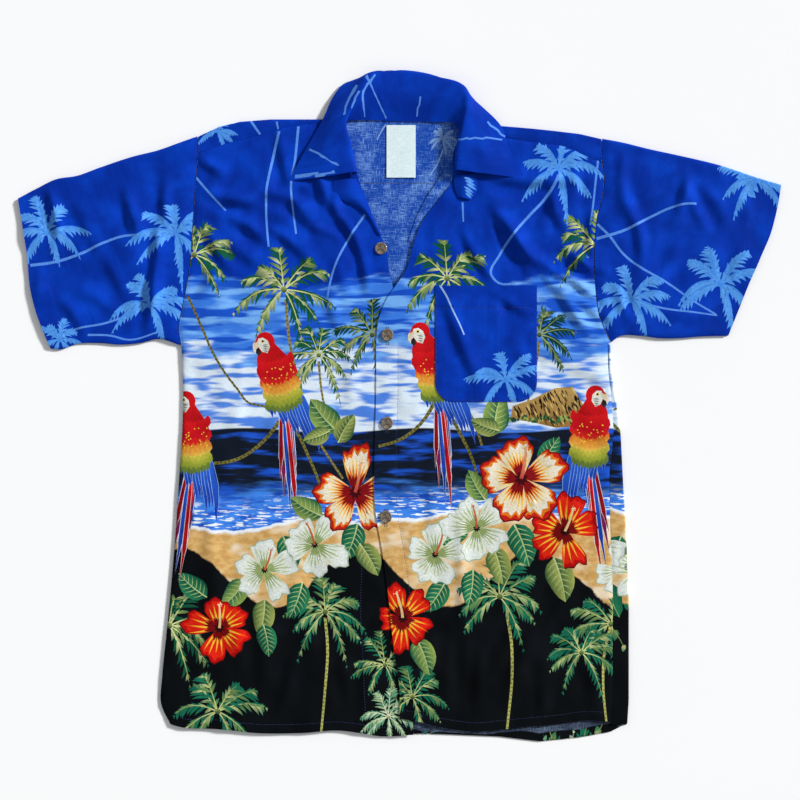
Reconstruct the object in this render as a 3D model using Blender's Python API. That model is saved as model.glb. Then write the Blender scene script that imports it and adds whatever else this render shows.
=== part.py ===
"""A short-sleeved camp shirt, part buttoned and laid flat on its back, as closed cloth walls.

Frame: metres, +Z up from the floor that the shirt lies on, +Y from hem to collar, +X towards the
wearer's left side. The tables hold millimetres, and MM turns them into metres.
"""

import math

import bmesh
import bpy
import numpy as np

MM = 0.001

# Plies and levels
CLOTH = 1.0  # wall of one ply
COLLAR_PLY = 1.8  # two plies and an interlining
COLLAR_FOOT = 0.4  # lowest level of its outer face, where the fall lies under the stand
LABEL_PLY = 0.8
SEAM_GAP = 0.3  # between two pieces that are sewn together
FRONT_LEVEL = 4.0  # outer face of a front where it lies smooth
LAP_RISE = 1.5  # how far the buttonhole side lies above the button side
LAP_REACH = 46.0  # how far from its own edge the buttonhole side is still raised
LAP_RAMP = 16.0
LAP_TOP = 150.0  # it is back at the front's own level this far up and LAP_FADE more
LAP_FADE = 30.0
SIDE_DROP = 0.9  # a front comes this far down at its side seam
TURN_RADIUS = FRONT_LEVEL / 2  # where back and yoke turn up on to the front
FACING_LEVEL = 2.5
POCKET_GAP = 1.0
SLEEVE_RISE = 5.4  # outer height of a flattened sleeve half way down
ARMHOLE_RISE = 4.6  # and at its armhole
HULL_POWER = 0.25  # how square the flattened sleeve is: an exponent under 1
HULL_SPILL = 1.2  # the ring is drawn this much too high and cut off flat
HULL_SPACING = 0.9  # under 1 too, it gathers the ring's points towards its two folds

# Shares of the way from one line to the next
STAND_SHARE = 0.62  # where the collar's stand is held, from its seam to its roll
FALL_SHARE = 0.38  # where its fall is held, from the roll to the edge
CREST_SHARE = 0.4  # where a lapel is highest, from its roll to its edge
EVEN_SHARE = 0.3  # how evenly the yoke's columns start, against straight below its ridge

# Buttons
BUTTON_RADIUS = 7.6
BUTTON_THICK = 2.6
BUTTON_DISH = 0.6
BUTTON_RIM = 1.6
BUTTON_EDGE = 0.6
BUTTON_SIDES = 20
HOLE_RADIUS = 0.9
HOLE_SPREAD = 1.7

# Grid steps
SIDE_ROWS = 16
ARM_ROWS = 9
FRONT_COLUMNS = 11
BACK_COLUMNS = 18
YOKE_COLUMNS = FRONT_COLUMNS
YOKE_ROWS = 4
NECK_COLUMNS = 6
SLEEVE_ROWS = 10
RING_STEPS = 24
COLLAR_STATIONS = 30
COLLAR_STEPS = 11
LAPEL_STATIONS = 8
POCKET_STEPS = 8
TURN_STEPS = 4

# Lines that two pieces share, from the armpit or the hem upwards, or from the shoulder to the neck.
RIGHT_SIDE = ((-284, -394), (-295, -370), (-294, -335), (-289, -285), (-284, -235), (-278, -165),
              (-273, -90), (-269, -30), (-268, 20), (-270, 74))
RIGHT_ARMHOLE = ((-270, 74), (-273, 96), (-268, 124), (-260, 168), (-255, 230), (-252, 280), (-249, 314))
LEFT_SIDE = ((282, -396), (284, -365), (284, -300), (284, -235), (281, -165), (277, -95),
             (274, -35), (268, 8), (263, 40), (261, 78))
LEFT_ARMHOLE = ((261, 78), (247, 112), (242, 150), (241, 195), (244, 232), (251, 262), (253, 284),
                (250, 302))
RIGHT_SHOULDER = ((-249, 314), (-211, 326), (-180, 334), (-148, 343), (-120, 348), (-86, 352))
LEFT_SHOULDER = ((250, 302), (232, 309), (208, 320), (180, 325), (150, 329), (118, 336), (88, 345))
RIGHT_RIDGE = ((-249, 334), (-223, 346), (-198, 352), (-160, 355), (-120, 355), (-86, 355))
LEFT_RIDGE = ((249, 331), (223, 337), (190, 341), (160, 344), (124, 347), (88, 351))
NECK_SEAM = ((-86, 355), (-62, 353.5), (-30, 352), (20, 350.5), (60, 349.5), (88, 351))
YOKE_SEAM = ((-250.8, 272), (-150, 274), (0, 276), (130, 274), (250.6, 270))

# Front edges: the button side lies under the buttonhole side, and both part at the hem.
BUTTON_EDGE_LOW = ((17, -407), (15, -330), (12, -240), (8, -150), (3, -60), (0, 10), (0, 74))
BUTTON_EDGE_HIGH = ((0, 74), (-3, 115), (-8, 146), (-13, 168), (-16, 192), (-28, 222), (-39, 248),
                    (-52, 285), (-66, 330), (-86, 352))
HOLE_EDGE_LOW = ((0, -387), (0, -352), (-5, -315), (-9, -283), (-14, -235), (-21, -182), (-30, -128),
                 (-31, -60), (-29, 10), (-29, 78))
HOLE_EDGE_HIGH = ((-29, 78), (-26, 106), (-15, 134), (-4, 150), (7, 166), (16, 195), (28, 228),
                  (50, 257), (64, 276), (68, 318), (88, 345))
BUTTON_HEM = ((-284, -394), (-273, -397), (-223, -400), (-174, -405), (-124, -405), (-74, -402),
              (-48, -405), (-24, -409), (17, -407))
HOLE_HEM = ((261, -391), (240, -389), (192, -394), (160, -397), (130, -400), (88, -403), (50, -397),
            (20, -390), (0, -387))
BACK_HEM = ((-281, -392), (-223, -397), (-174, -401), (-100, -400), (-25, -405), (50, -406), (124, -409),
            (174, -415), (223, -410), (262, -403), (281, -393))
# How far the back turns up round the left side on to the front, from the hem to the armpit.
WRAP = ((-396, 20), (-300, 20), (-150, 19), (-80, 16), (-30, 8), (20, 4), (78, 3))

RIGHT_SLEEVE = {
    "armhole": ((-271, 75), (-274, 96), (-269, 124), (-261, 168), (-256, 230), (-253, 280), (-250.4, 314),
                (-250.4, 334)),
    "cuff": ((-432, 71), (-441, 92), (-450, 116), (-458, 150), (-461, 186), (-466, 218), (-472.5, 257)),
    "under": ((-271, 75), (-298, 83), (-322, 78), (-347, 76), (-372, 78), (-400, 77), (-422, 70),
              (-432, 71)),
    "over": ((-250.4, 334), (-273, 326), (-298, 317), (-330, 309), (-372, 295), (-400, 285), (-425, 281),
             (-450, 269), (-472.5, 257)),
}
LEFT_SLEEVE = {
    "armhole": ((262.4, 79), (248.2, 112), (243, 150), (242, 195), (245, 232), (252, 262), (254.2, 284),
                (251.4, 302), (251, 331)),
    "cuff": ((407, 87), (415, 107), (423, 127), (433, 152), (448, 186), (461, 218), (468, 246),
             (472.5, 274)),
    "under": ((262.4, 79), (272, 86), (298, 87), (322, 84), (347, 84), (372, 86), (407, 87)),
    "over": ((251, 331), (273, 327), (310, 318), (347, 310), (397, 298), (446, 282), (472.5, 274)),
}

# Collar stations from the right leaf's front end round the back to the left leaf's. Each section runs
# from the neck seam up the stand, over the roll and down the fall to the collar's edge.
COLLAR_COLUMNS = ("seam_x", "seam_y", "seam_z", "stand_z", "roll_x", "roll_y", "roll_z", "fall_z",
                  "edge_x", "edge_y", "edge_z")
COLLAR = (
    (-58, 284, 6.4, 7.0, -52, 288, 11.0, 13.0, -137, 278, 6.8),
    (-66, 316, 6.4, 7.4, -59, 322, 12.0, 15.0, -116, 317, 7.0),
    (-72, 341, 6.4, 9.5, -65, 350, 15.5, 15.5, -97, 350, 7.4),
    (-66, 352, 5.4, 12.5, -58, 367, 17.0, 14.5, -91, 363, 6.4),
    (-50, 354, 4.0, 13.5, -49, 387, 15.5, 11.0, -82, 383, 4.0),
    (-34, 354, 3.0, 12.5, -40, 410, 11.0, 5.0, -62, 402, 2.0),
    (-6, 353, 2.4, 10.5, -14, 415, 7.0, 1.4, -13, 392, 0.8),
    (34, 352, 2.8, 11.0, 50, 407, 8.0, 2.0, 47, 384, 1.2),
    (52, 351.5, 3.8, 13.0, 82, 393, 12.0, 6.0, 92, 378, 2.4),
    (64, 351, 5.2, 13.5, 84, 374, 17.0, 13.0, 107, 366, 5.0),
    (72, 345, 6.4, 11.5, 78, 353, 18.5, 16.5, 125, 347, 7.2),
    (74, 318, 6.4, 7.6, 70, 322, 13.5, 16.0, 137, 315, 7.0),
    (72, 289, 6.4, 7.0, 67, 291, 11.0, 13.5, 156, 281, 6.8),
)

# Tops of the front facings. Each row is a section from the roll at the neck to the free edge.
LAPEL_COLUMNS = ("roll_x", "roll_y", "edge_x", "edge_y", "crest_z")
RIGHT_LAPEL = (
    (-53, 281, -81, 279, 9.0),
    (-45, 266, -83, 262, 9.0),
    (-39, 251, -60, 250, 8.5),
    (-31, 231, -42, 236, 7.4),
    (-22, 211, -27, 213, 6.2),
)
LEFT_LAPEL = (
    (68, 285, 96, 287, 9.0),
    (68, 272, 96, 266, 9.0),
    (72, 259, 88, 255, 8.0),
)
# The left facing hangs into the neck opening, wrong side up.
FACING_COLUMNS = ("inner_x", "inner_y", "outer_x", "outer_y")
LEFT_FACING = (
    (58, 312, 78, 312),
    (52, 288, 76, 282),
    (36, 262, 66, 262),
    (24, 240, 46, 240),
    (16, 220, 32, 220),
    (11, 204, 22, 204),
)

# The largest folds: centre, direction from +X in degrees, length, half width and height.
FOLD_COLUMNS = ("x", "y", "turn", "length", "width", "height")
FOLDS = (
    (150, 205, -47, 120, 9, 4.0),
    (205, 146, -40, 105, 9, 3.6),
    (112, 222, -62, 60, 7, 2.6),
    (-212, 222, -38, 70, 9, 2.8),
    (-152, 236, -12, 80, 9, 2.8),
    (-112, 188, -62, 90, 9, 3.2),
    (-72, 158, -76, 80, 8, 2.6),
    (79, -235, 90, 300, 7, 2.8),
    (-168, -318, 80, 150, 13, 3.4),
    (-110, -300, 98, 150, 11, 3.0),
    (150, -318, 72, 140, 13, 3.4),
    (214, -290, 116, 120, 11, 2.6),
    (-232, -190, 94, 190, 11, 2.4),
    (-64, -318, 86, 110, 9, 2.4),
    (-330, 205, 62, 130, 13, 3.2),
    (-424, 215, 74, 80, 8, 2.8),
    (-306, 140, 95, 80, 10, 2.8),
    (345, 232, 80, 120, 11, 3.2),
    (306, 150, 24, 80, 11, 2.8),
    (392, 205, 60, 70, 9, 2.4),
)

POCKET = {"left": 44.0, "right": 170.0, "bottom": 5.0, "top": 149.0, "corner": 24.0}
LABEL = {"left": -16.0, "right": 20.0, "bottom": 283.0, "top": 348.0}
BUTTONS = ((-23.0, 195.0), (-15.0, 88.0), (-15.5, -21.0), (-17.0, -137.0))

# Colour, roughness and metallic value of each material
MATERIALS = {
    "printed_cloth": ((0.02, 0.10, 0.55), 0.7, 0.0),
    "label_tape": ((0.85, 0.88, 0.82), 0.8, 0.0),
    "coconut_button": ((0.30, 0.20, 0.13), 0.45, 0.0),
}


def clear_scene():
    for obj in list(bpy.data.objects):
        bpy.data.objects.remove(obj)


def material(name):
    """The named material, made on its first use."""
    if name in bpy.data.materials:
        return bpy.data.materials[name]
    colour, rough, metal = MATERIALS[name]
    made = bpy.data.materials.new(name)
    made.use_nodes = True
    shader = made.node_tree.nodes["Principled BSDF"]
    shader.inputs["Base Color"].default_value = (*colour, 1.0)
    shader.inputs["Roughness"].default_value = rough
    shader.inputs["Metallic"].default_value = metal
    return made


def smooth_step(share):
    t = np.clip(share, 0.0, 1.0)
    return t * t * (3.0 - 2.0 * t)


def smooth_line(points, count):
    """count + 1 evenly spaced points along a smooth curve through the given points."""
    p = np.array(points, float)
    knots = np.concatenate([[0.0], np.cumsum(np.linalg.norm(np.diff(p[:, :3], axis=0), axis=1))])
    slopes = np.gradient(p, knots, axis=0)
    fine = np.linspace(0.0, knots[-1], 12 * len(p))
    i = np.clip(np.searchsorted(knots, fine, side="right") - 1, 0, len(p) - 2)
    gap = (knots[i + 1] - knots[i])[:, None]
    t = (fine - knots[i])[:, None] / gap
    line = ((2 * t**3 - 3 * t**2 + 1) * p[i] + (t**3 - 2 * t**2 + t) * gap * slopes[i]
            + (3 * t**2 - 2 * t**3) * p[i + 1] + (t**3 - t**2) * gap * slopes[i + 1])
    along = np.concatenate([[0.0], np.cumsum(np.linalg.norm(np.diff(line, axis=0), axis=1))])
    wanted = np.linspace(0.0, along[-1], count + 1)
    return np.stack([np.interp(wanted, along, line[:, k]) for k in range(p.shape[1])], axis=1)


def joined(*lines):
    """Lines end to end, each next one without its first point, which it shares."""
    return np.concatenate([lines[0]] + [line[1:] for line in lines[1:]])


def patch(low, high, start, end):
    """The grid that fills four boundary lines: low and high run across, start and end run up."""
    across = np.linspace(0.0, 1.0, len(low))[None, :, None]
    up = np.linspace(0.0, 1.0, len(start))[:, None, None]
    sides = (1 - across) * start[:, None] + across * end[:, None]
    ends = (1 - up) * low[None] + up * high[None]
    corners = ((1 - up) * ((1 - across) * low[0] + across * low[-1])
               + up * ((1 - across) * high[0] + across * high[-1]))
    return sides + ends - corners


def fold_height(x, y):
    """How far the largest folds lift the upper ply at a place."""
    total = np.zeros(np.broadcast(x, y).shape)
    for row in FOLDS:
        fold = dict(zip(FOLD_COLUMNS, row))
        turn = math.radians(fold["turn"])
        along = (x - fold["x"]) * math.cos(turn) + (y - fold["y"]) * math.sin(turn)
        across = (y - fold["y"]) * math.cos(turn) - (x - fold["x"]) * math.sin(turn)
        taper = np.clip(1.0 - (2.0 * along / fold["length"]) ** 2, 0.0, 1.0) ** 1.5
        total = total + fold["height"] * taper * np.exp(-((across / fold["width"]) ** 2))
    return total


def with_height(flat, height):
    return np.concatenate([flat, np.broadcast_to(height, flat.shape[:-1])[..., None]], axis=-1)


def cloth(name, grids, ply=CLOTH, closed=False, slot="printed_cloth"):
    """A cloth wall. Each grid is a face of it, rows by columns of points in millimetres, and grids meet
    where they share points. The wall lies behind the faces. A closed grid joins its last column to its
    first."""
    shell = bmesh.new()
    for grid in grids:
        rows = [[shell.verts.new(point * MM) for point in row] for row in grid]
        for below, above in zip(rows, rows[1:]):
            for i in range(len(below) - (0 if closed else 1)):
                j = (i + 1) % len(below)
                shell.faces.new((below[i], below[j], above[j], above[i]))
    bmesh.ops.remove_doubles(shell, verts=shell.verts, dist=0.01 * MM)
    obj = shape(name, shell)
    obj.data.materials.append(material(slot))
    obj.data.shade_smooth()
    wall = obj.modifiers.new("wall", "SOLIDIFY")
    wall.thickness = ply * MM
    wall.offset = -1.0
    return obj


def front_height(flat, lap_edge=None):
    """Outer face of the upper ply. A front's first column is its side seam, which lies lower."""
    x, y = flat[..., 0], flat[..., 1]
    height = FRONT_LEVEL + fold_height(x, y)
    if lap_edge is not None:
        height = height + lap_height(x - lap_edge[:, None], y)
    return height


def lap_height(inset, y):
    """How far the buttonhole side is raised at a distance from its edge."""
    near_edge = smooth_step((LAP_REACH + LAP_RAMP - inset) / LAP_RAMP)
    return LAP_RISE * near_edge * smooth_step((LAP_TOP + LAP_FADE - y) / LAP_FADE)


def moved_in(line, inset):
    """A side line moved sideways towards the middle of the shirt."""
    moved = line.copy()
    moved[:, 0] -= np.sign(line[:, 0]) * inset
    return moved


def button_front():
    """The wearer's right front, which carries the buttons."""
    side = joined(smooth_line(RIGHT_SIDE, SIDE_ROWS), smooth_line(RIGHT_ARMHOLE, ARM_ROWS))
    edge = joined(smooth_line(BUTTON_EDGE_LOW, SIDE_ROWS), smooth_line(BUTTON_EDGE_HIGH, ARM_ROWS))
    hem, shoulder = smooth_line(BUTTON_HEM, FRONT_COLUMNS), smooth_line(RIGHT_SHOULDER, FRONT_COLUMNS)
    flat = patch(hem, shoulder, side, edge)
    height = front_height(flat)
    height[:SIDE_ROWS, 0] -= SIDE_DROP
    return cloth("front_right", [with_height(flat, height)])


def left_seam():
    """The left side seam: the side line moved in by the stretch that the back turns up over it."""
    side = smooth_line(LEFT_SIDE, SIDE_ROWS)
    turned_up = np.interp(side[:, 1], *np.array(WRAP).T)
    return moved_in(side, turned_up)


def hole_front():
    """The wearer's left front, with the buttonholes and the pocket. Returns its grid too."""
    side = joined(moved_in(left_seam(), SEAM_GAP), smooth_line(LEFT_ARMHOLE, ARM_ROWS))
    side[0] = HOLE_HEM[0]
    edge = joined(smooth_line(HOLE_EDGE_LOW, SIDE_ROWS), smooth_line(HOLE_EDGE_HIGH, ARM_ROWS))
    hem, shoulder = smooth_line(HOLE_HEM, FRONT_COLUMNS), smooth_line(LEFT_SHOULDER, FRONT_COLUMNS)
    flat = patch(hem, shoulder, side, edge)
    height = front_height(flat, lap_edge=edge[:, 0])
    grid = with_height(flat, height)
    return cloth("front_left", [grid[:, ::-1]]), grid


def back():
    """The back below the yoke. On the left it turns up round the side on to the front."""
    right_arm = smooth_line((*RIGHT_ARMHOLE[:5], YOKE_SEAM[0]), ARM_ROWS)
    left_arm = smooth_line((*LEFT_ARMHOLE[:5], YOKE_SEAM[-1]), ARM_ROWS)
    right = joined(smooth_line(RIGHT_SIDE, SIDE_ROWS), right_arm)
    left = joined(smooth_line(LEFT_SIDE, SIDE_ROWS), left_arm)
    right = moved_in(right, 2 * SEAM_GAP)
    left = moved_in(left, TURN_RADIUS)
    low, high = smooth_line(BACK_HEM, BACK_COLUMNS), smooth_line(YOKE_SEAM, BACK_COLUMNS)
    high[:, 1] -= SEAM_GAP
    for line, row in ((low, 0), (high, -1)):
        right[row], left[row] = line[0], line[-1]
    left[-1, 0] -= TURN_RADIUS
    flat = patch(low, high, right, left)
    lying = with_height(flat, 0.0)
    rim, seam = lying[: SIDE_ROWS + 1, -1], left_seam()
    turn = [rim]
    for angle in np.linspace(0.0, math.pi, TURN_STEPS + 1)[1:]:
        out = TURN_RADIUS * np.array([math.sin(angle), 0.0, 1.0 - math.cos(angle)])
        turn.append(rim + out)
    strip = [turn[-1]]
    for share in (0.5, 1.0):
        place = turn[-1].copy()
        reach = np.maximum(turn[-1][:, 0] - seam[:, 0], SEAM_GAP)
        place[:, 0] -= share * reach
        place[:, 2] += fold_height(place[:, 0], place[:, 1])
        strip.append(place)
    upturn = np.stack(turn + strip[1:], axis=1)
    return cloth("back", [lying[:, ::-1], upturn[:, ::-1]])


def yoke():
    """The yoke: across the back above its seam, over both shoulders and down to the front seams."""
    right = smooth_line((YOKE_SEAM[0], (-249.8, 300), RIGHT_RIDGE[0]), YOKE_ROWS)
    left = smooth_line((YOKE_SEAM[-1], (249.8, 300), LEFT_RIDGE[0]), YOKE_ROWS)
    ridge_right = smooth_line(RIGHT_RIDGE, YOKE_COLUMNS)
    ridge_left = smooth_line(LEFT_RIDGE, YOKE_COLUMNS)[::-1]
    neck = smooth_line(NECK_SEAM, NECK_COLUMNS)
    top = joined(ridge_right, neck, ridge_left)
    top[:, 1] -= TURN_RADIUS
    right[-1], left[-1] = top[0], top[-1]
    low = smooth_line(YOKE_SEAM, len(top) - 1)
    even = np.linspace(low[0, 0], low[-1, 0], len(top))
    low[:, 0] = EVEN_SHARE * even + (1.0 - EVEN_SHARE) * top[:, 0]
    low[:, 1] = np.interp(low[:, 0], *np.array(YOKE_SEAM).T) + SEAM_GAP
    right[0], left[0] = low[0], low[-1]
    lying = with_height(patch(low, top, right, left), 0.0)
    grids = [lying[:, ::-1]]
    right_rim, left_rim = lying[-1, : YOKE_COLUMNS + 1], lying[-1, -YOKE_COLUMNS - 1:]
    shoulders = ((right_rim, RIGHT_SHOULDER, 1), (left_rim, LEFT_SHOULDER, -1))
    for rim, shoulder, step in shoulders:
        seam = smooth_line(shoulder, YOKE_COLUMNS)[::step]
        rows = [rim]
        for angle in np.linspace(0.0, math.pi, TURN_STEPS + 1)[1:]:
            rows.append(rim + TURN_RADIUS * np.array([0.0, math.sin(angle), 1.0 - math.cos(angle)]))
        for share in (0.5, 1.0):
            place = rows[TURN_STEPS].copy()
            place[:, :2] += share * (seam + (0.0, SEAM_GAP) - place[:, :2])
            place[:, 2] += fold_height(place[:, 0], place[:, 1])
            rows.append(place)
        grids.append(np.stack(rows)[:, ::-1])
    return cloth("yoke", grids)


def signed_power(value, power):
    return np.sign(value) * np.abs(value) ** power


def sleeve(name, lines, outwards):
    """A flattened sleeve, as rings from armhole to cuff. outwards is -1 for the right arm, 1 for the left."""
    around = np.linspace(0.0, 2 * math.pi, RING_STEPS, endpoint=False)
    across = 0.5 - 0.5 * signed_power(np.cos(around), HULL_SPACING)
    level = np.clip(0.5 + 0.5 * HULL_SPILL * signed_power(np.sin(around), HULL_POWER), 0.0, 1.0)
    start, end = (smooth_line(lines[key], RING_STEPS) for key in ("armhole", "cuff"))
    low, high = (smooth_line(lines[key], SLEEVE_ROWS) for key in ("under", "over"))
    flat = patch(start, end, low, high)
    share = np.linspace(0.0, 1.0, RING_STEPS + 1)
    rows = []
    for k, section in enumerate(flat):
        out = math.sin(math.pi * min(1.0, 0.5 + k / SLEEVE_ROWS) / 2)
        rise = ARMHOLE_RISE + (SLEEVE_RISE - ARMHOLE_RISE) * smooth_step(2.0 * k / SLEEVE_ROWS) * out
        ring = np.stack([np.interp(across, share, section[:, i]) for i in range(2)], axis=1)
        height = level * rise + (level == 1.0) * fold_height(ring[:, 0], ring[:, 1])
        rows.append(with_height(ring, height))
    grid = np.stack(rows)
    return cloth(name, [grid if outwards < 0 else grid[:, ::-1]], closed=True)


def collar():
    """The one-piece collar: stand, roll and fall, from one leaf round the neck to the other."""
    stations = smooth_line([[row[COLLAR_COLUMNS.index(key)] for key in (
        "roll_x", "roll_y", "roll_z", "seam_x", "seam_y", "seam_z", "stand_z", "fall_z", "edge_x",
        "edge_y", "edge_z")] for row in COLLAR], COLLAR_STATIONS)
    sections = []
    for row in stations:
        roll, seam, stand_z, fall_z, edge = row[:3], row[3:6], row[6], row[7], row[8:11]
        stand = np.array([*(seam + STAND_SHARE * (roll - seam))[:2], stand_z])
        fall = np.array([*(roll + FALL_SHARE * (edge - roll))[:2], fall_z])
        section = smooth_line((seam, stand, roll, fall, edge), COLLAR_STEPS)
        section[:, 2] = np.maximum(section[:, 2], COLLAR_FOOT)
        sections.append(section)
    return cloth("collar", [np.stack(sections)[:, ::-1]], ply=COLLAR_PLY)


def lapel(name, table, flip):
    """The top of a front facing, rolled back on to the front."""
    stations = smooth_line([[row[0], row[1], 0.0, *row[2:]] for row in table], LAPEL_STATIONS)
    foot = FRONT_LEVEL + 2 * SEAM_GAP + CLOTH
    sections = []
    for row in stations:
        roll, edge, crest_z = row[:2], row[3:5], row[5]
        crest = roll + CREST_SHARE * (edge - roll)
        sections.append(smooth_line(((*roll, foot), (*crest, max(crest_z, foot)), (*edge, foot)), 4))
    grid = np.stack(sections)
    return cloth(name, [grid if flip else grid[:, ::-1]])


def facing():
    """The top of the left front's facing, which hangs wrong side up into the neck."""
    stations = smooth_line(LEFT_FACING, LAPEL_STATIONS)
    inner, outer = stations[:, :2], stations[:, 2:]
    columns = [with_height(inner + share * (outer - inner), FACING_LEVEL) for share in (0.0, 0.5, 1.0)]
    grid = np.stack(columns, axis=1)
    return cloth("facing_left", [grid[::-1]])


def rounded(share_x, share_y):
    """A place in the pocket, whose lower corners are rounded."""
    width, drop = POCKET["right"] - POCKET["left"], POCKET["top"] - POCKET["bottom"]
    x, y = share_x * width, share_y * drop
    r = POCKET["corner"]
    lift = np.clip((r - np.minimum(x, width - x)) / r, 0.0, 1.0)
    floor = r * (1.0 - np.sqrt(1.0 - lift**2 * 0.98))
    return POCKET["left"] + x, POCKET["bottom"] + floor + y * (drop - floor) / drop


def pocket():
    """The patch pocket: the front's own surface moved out by a ply."""
    share = np.linspace(0.0, 1.0, POCKET_STEPS + 1)
    across = 0.5 - 0.5 * np.cos(math.pi * share)
    x, y = rounded(*np.meshgrid(0.5 * (share + across), share))
    lap_edge = np.interp(y, *np.array(HOLE_EDGE_LOW + HOLE_EDGE_HIGH)[:, ::-1].T)
    height = FRONT_LEVEL + fold_height(x, y) + lap_height(x - lap_edge, y) + CLOTH + POCKET_GAP
    return cloth("pocket", [with_height(np.stack([x, y], axis=-1), height)])


def label():
    """The neck label, sewn into the neck seam."""
    xs = (LABEL["left"], LABEL["right"])
    rows = [[(x, y, CLOTH + SEAM_GAP + LABEL_PLY) for x in xs] for y in (LABEL["bottom"], LABEL["top"])]
    return cloth("neck_label", [np.array(rows)], ply=LABEL_PLY, slot="label_tape")


def button(name, x, y, foot):
    """A dished button with two holes, standing on foot."""
    profile = ((0.0, 0.0), (BUTTON_RADIUS * 0.8, 0.0), (BUTTON_RADIUS, BUTTON_EDGE),
               (BUTTON_RADIUS, BUTTON_THICK - BUTTON_EDGE), (BUTTON_RADIUS - BUTTON_EDGE, BUTTON_THICK),
               (BUTTON_RADIUS - BUTTON_RIM, BUTTON_THICK - BUTTON_DISH), (0.0, BUTTON_THICK - BUTTON_DISH))
    turned = bmesh.new()
    line = [turned.verts.new((r * MM, 0.0, z * MM)) for r, z in profile]
    edges = [turned.edges.new(pair) for pair in zip(line, line[1:])]
    bmesh.ops.spin(turned, geom=line + edges, cent=(0, 0, 0), axis=(0, 0, 1), angle=2 * math.pi,
                   steps=BUTTON_SIDES, use_merge=True, use_duplicate=False)
    bmesh.ops.remove_doubles(turned, verts=turned.verts, dist=0.001 * MM)
    bmesh.ops.recalc_face_normals(turned, faces=turned.faces)
    place = (x * MM, y * MM, foot * MM)
    made = shape(name, turned, place)
    made.data.materials.append(material("coconut_button"))
    made.data.shade_smooth()
    made.data.set_sharp_from_angle(angle=math.radians(35))
    pins = bmesh.new()
    for side in (-1, 1):
        pin = bmesh.ops.create_cone(pins, cap_ends=True, segments=8, radius1=HOLE_RADIUS * MM,
                                    radius2=HOLE_RADIUS * MM, depth=4 * BUTTON_THICK * MM)
        bmesh.ops.translate(pins, verts=pin["verts"], vec=(0.0, side * HOLE_SPREAD * MM, 0.0))
    cutter = shape(name + "_holes", pins, place)
    cutter.hide_render = True
    cutter.display_type = "WIRE"
    drill = made.modifiers.new("holes", "BOOLEAN")
    drill.operation = "DIFFERENCE"
    drill.object = cutter


def shape(name, built, place=(0.0, 0.0, 0.0)):
    """An object made from a bmesh, which is freed."""
    mesh = bpy.data.meshes.new(name)
    built.to_mesh(mesh)
    built.free()
    obj = bpy.data.objects.new(name, mesh)
    obj.location = place
    bpy.context.scene.collection.objects.link(obj)
    return obj


def main():
    clear_scene()
    back()
    yoke()
    button_front()
    hole_front()
    sleeve("sleeve_right", RIGHT_SLEEVE, outwards=-1)
    sleeve("sleeve_left", LEFT_SLEEVE, outwards=1)
    collar()
    lapel("lapel_right", RIGHT_LAPEL, flip=True)
    lapel("lapel_left", LEFT_LAPEL, flip=False)
    facing()
    pocket()
    label()
    for number, (x, y) in enumerate(BUTTONS, start=1):
        level = FRONT_LEVEL + SEAM_GAP + (LAP_RISE if number > 1 else 0.0)
        button(f"button_{number}", x, y, level)


main()
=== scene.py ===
"""Looks of the hawaiian shirt: thin printed cloth, laid flat, with its creases, stitches and buttons.

Tables hold millimetres in the frame's axes, and MM turns them into metres. A panel is drawn flat, as it
was cut, with its print as shapes in the cloth, and a surface function then lays it where the CAD part
lies. The print is drawn by functions for each kind of motif.
"""

import math

import bpy
import numpy as np
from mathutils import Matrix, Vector, geometry, kdtree

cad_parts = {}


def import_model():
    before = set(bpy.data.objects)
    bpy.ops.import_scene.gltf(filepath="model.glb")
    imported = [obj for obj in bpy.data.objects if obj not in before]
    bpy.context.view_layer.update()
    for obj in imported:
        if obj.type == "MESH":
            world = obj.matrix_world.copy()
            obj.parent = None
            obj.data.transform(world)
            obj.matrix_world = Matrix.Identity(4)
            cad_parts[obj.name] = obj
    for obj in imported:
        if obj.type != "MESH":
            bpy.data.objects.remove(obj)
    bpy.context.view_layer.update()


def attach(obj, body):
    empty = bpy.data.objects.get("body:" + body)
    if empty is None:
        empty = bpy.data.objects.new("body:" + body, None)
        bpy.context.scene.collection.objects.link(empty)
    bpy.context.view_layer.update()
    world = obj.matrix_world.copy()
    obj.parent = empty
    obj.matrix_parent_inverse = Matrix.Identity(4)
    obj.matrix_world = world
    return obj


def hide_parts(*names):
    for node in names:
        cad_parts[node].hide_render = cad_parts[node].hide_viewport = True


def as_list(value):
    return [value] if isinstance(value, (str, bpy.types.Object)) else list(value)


MM = 0.001

# Plies, thinner than the part's walls, and levels. The fronts, the lap and the facing lie at the part's own.
PLY = 0.6
COLLAR_PLY = 1.6  # two plies and an interlining
LABEL_PLY = 0.5
FRONT_LEVEL = 4.0
LAP_RISE = 1.5
LAP_REACH = 46.0
LAP_RAMP = 16.0
LAP_TOP = 150.0
LAP_FADE = 30.0
TURN_RADIUS = FRONT_LEVEL / 2
FACING_LEVEL = 2.5
SLEEVE_RISE = 5.2
SLEEVE_LOW = 2.0  # no trough of a sleeve goes lower
CUFF_RISE = 3.6
COLLAR_FOOT = 0.4
SEAM_GAP = 0.3
LAPEL_FOOT = 5.6
ARMPIT_Y = 76.0
STAND_SHARE = 0.62  # where the collar's stand is held, from its seam to its roll
FALL_SHARE = 0.38  # where its fall is held, from the roll to the edge
CREST_SHARE = 0.4  # where a lapel is highest, from its roll to its edge

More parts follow.
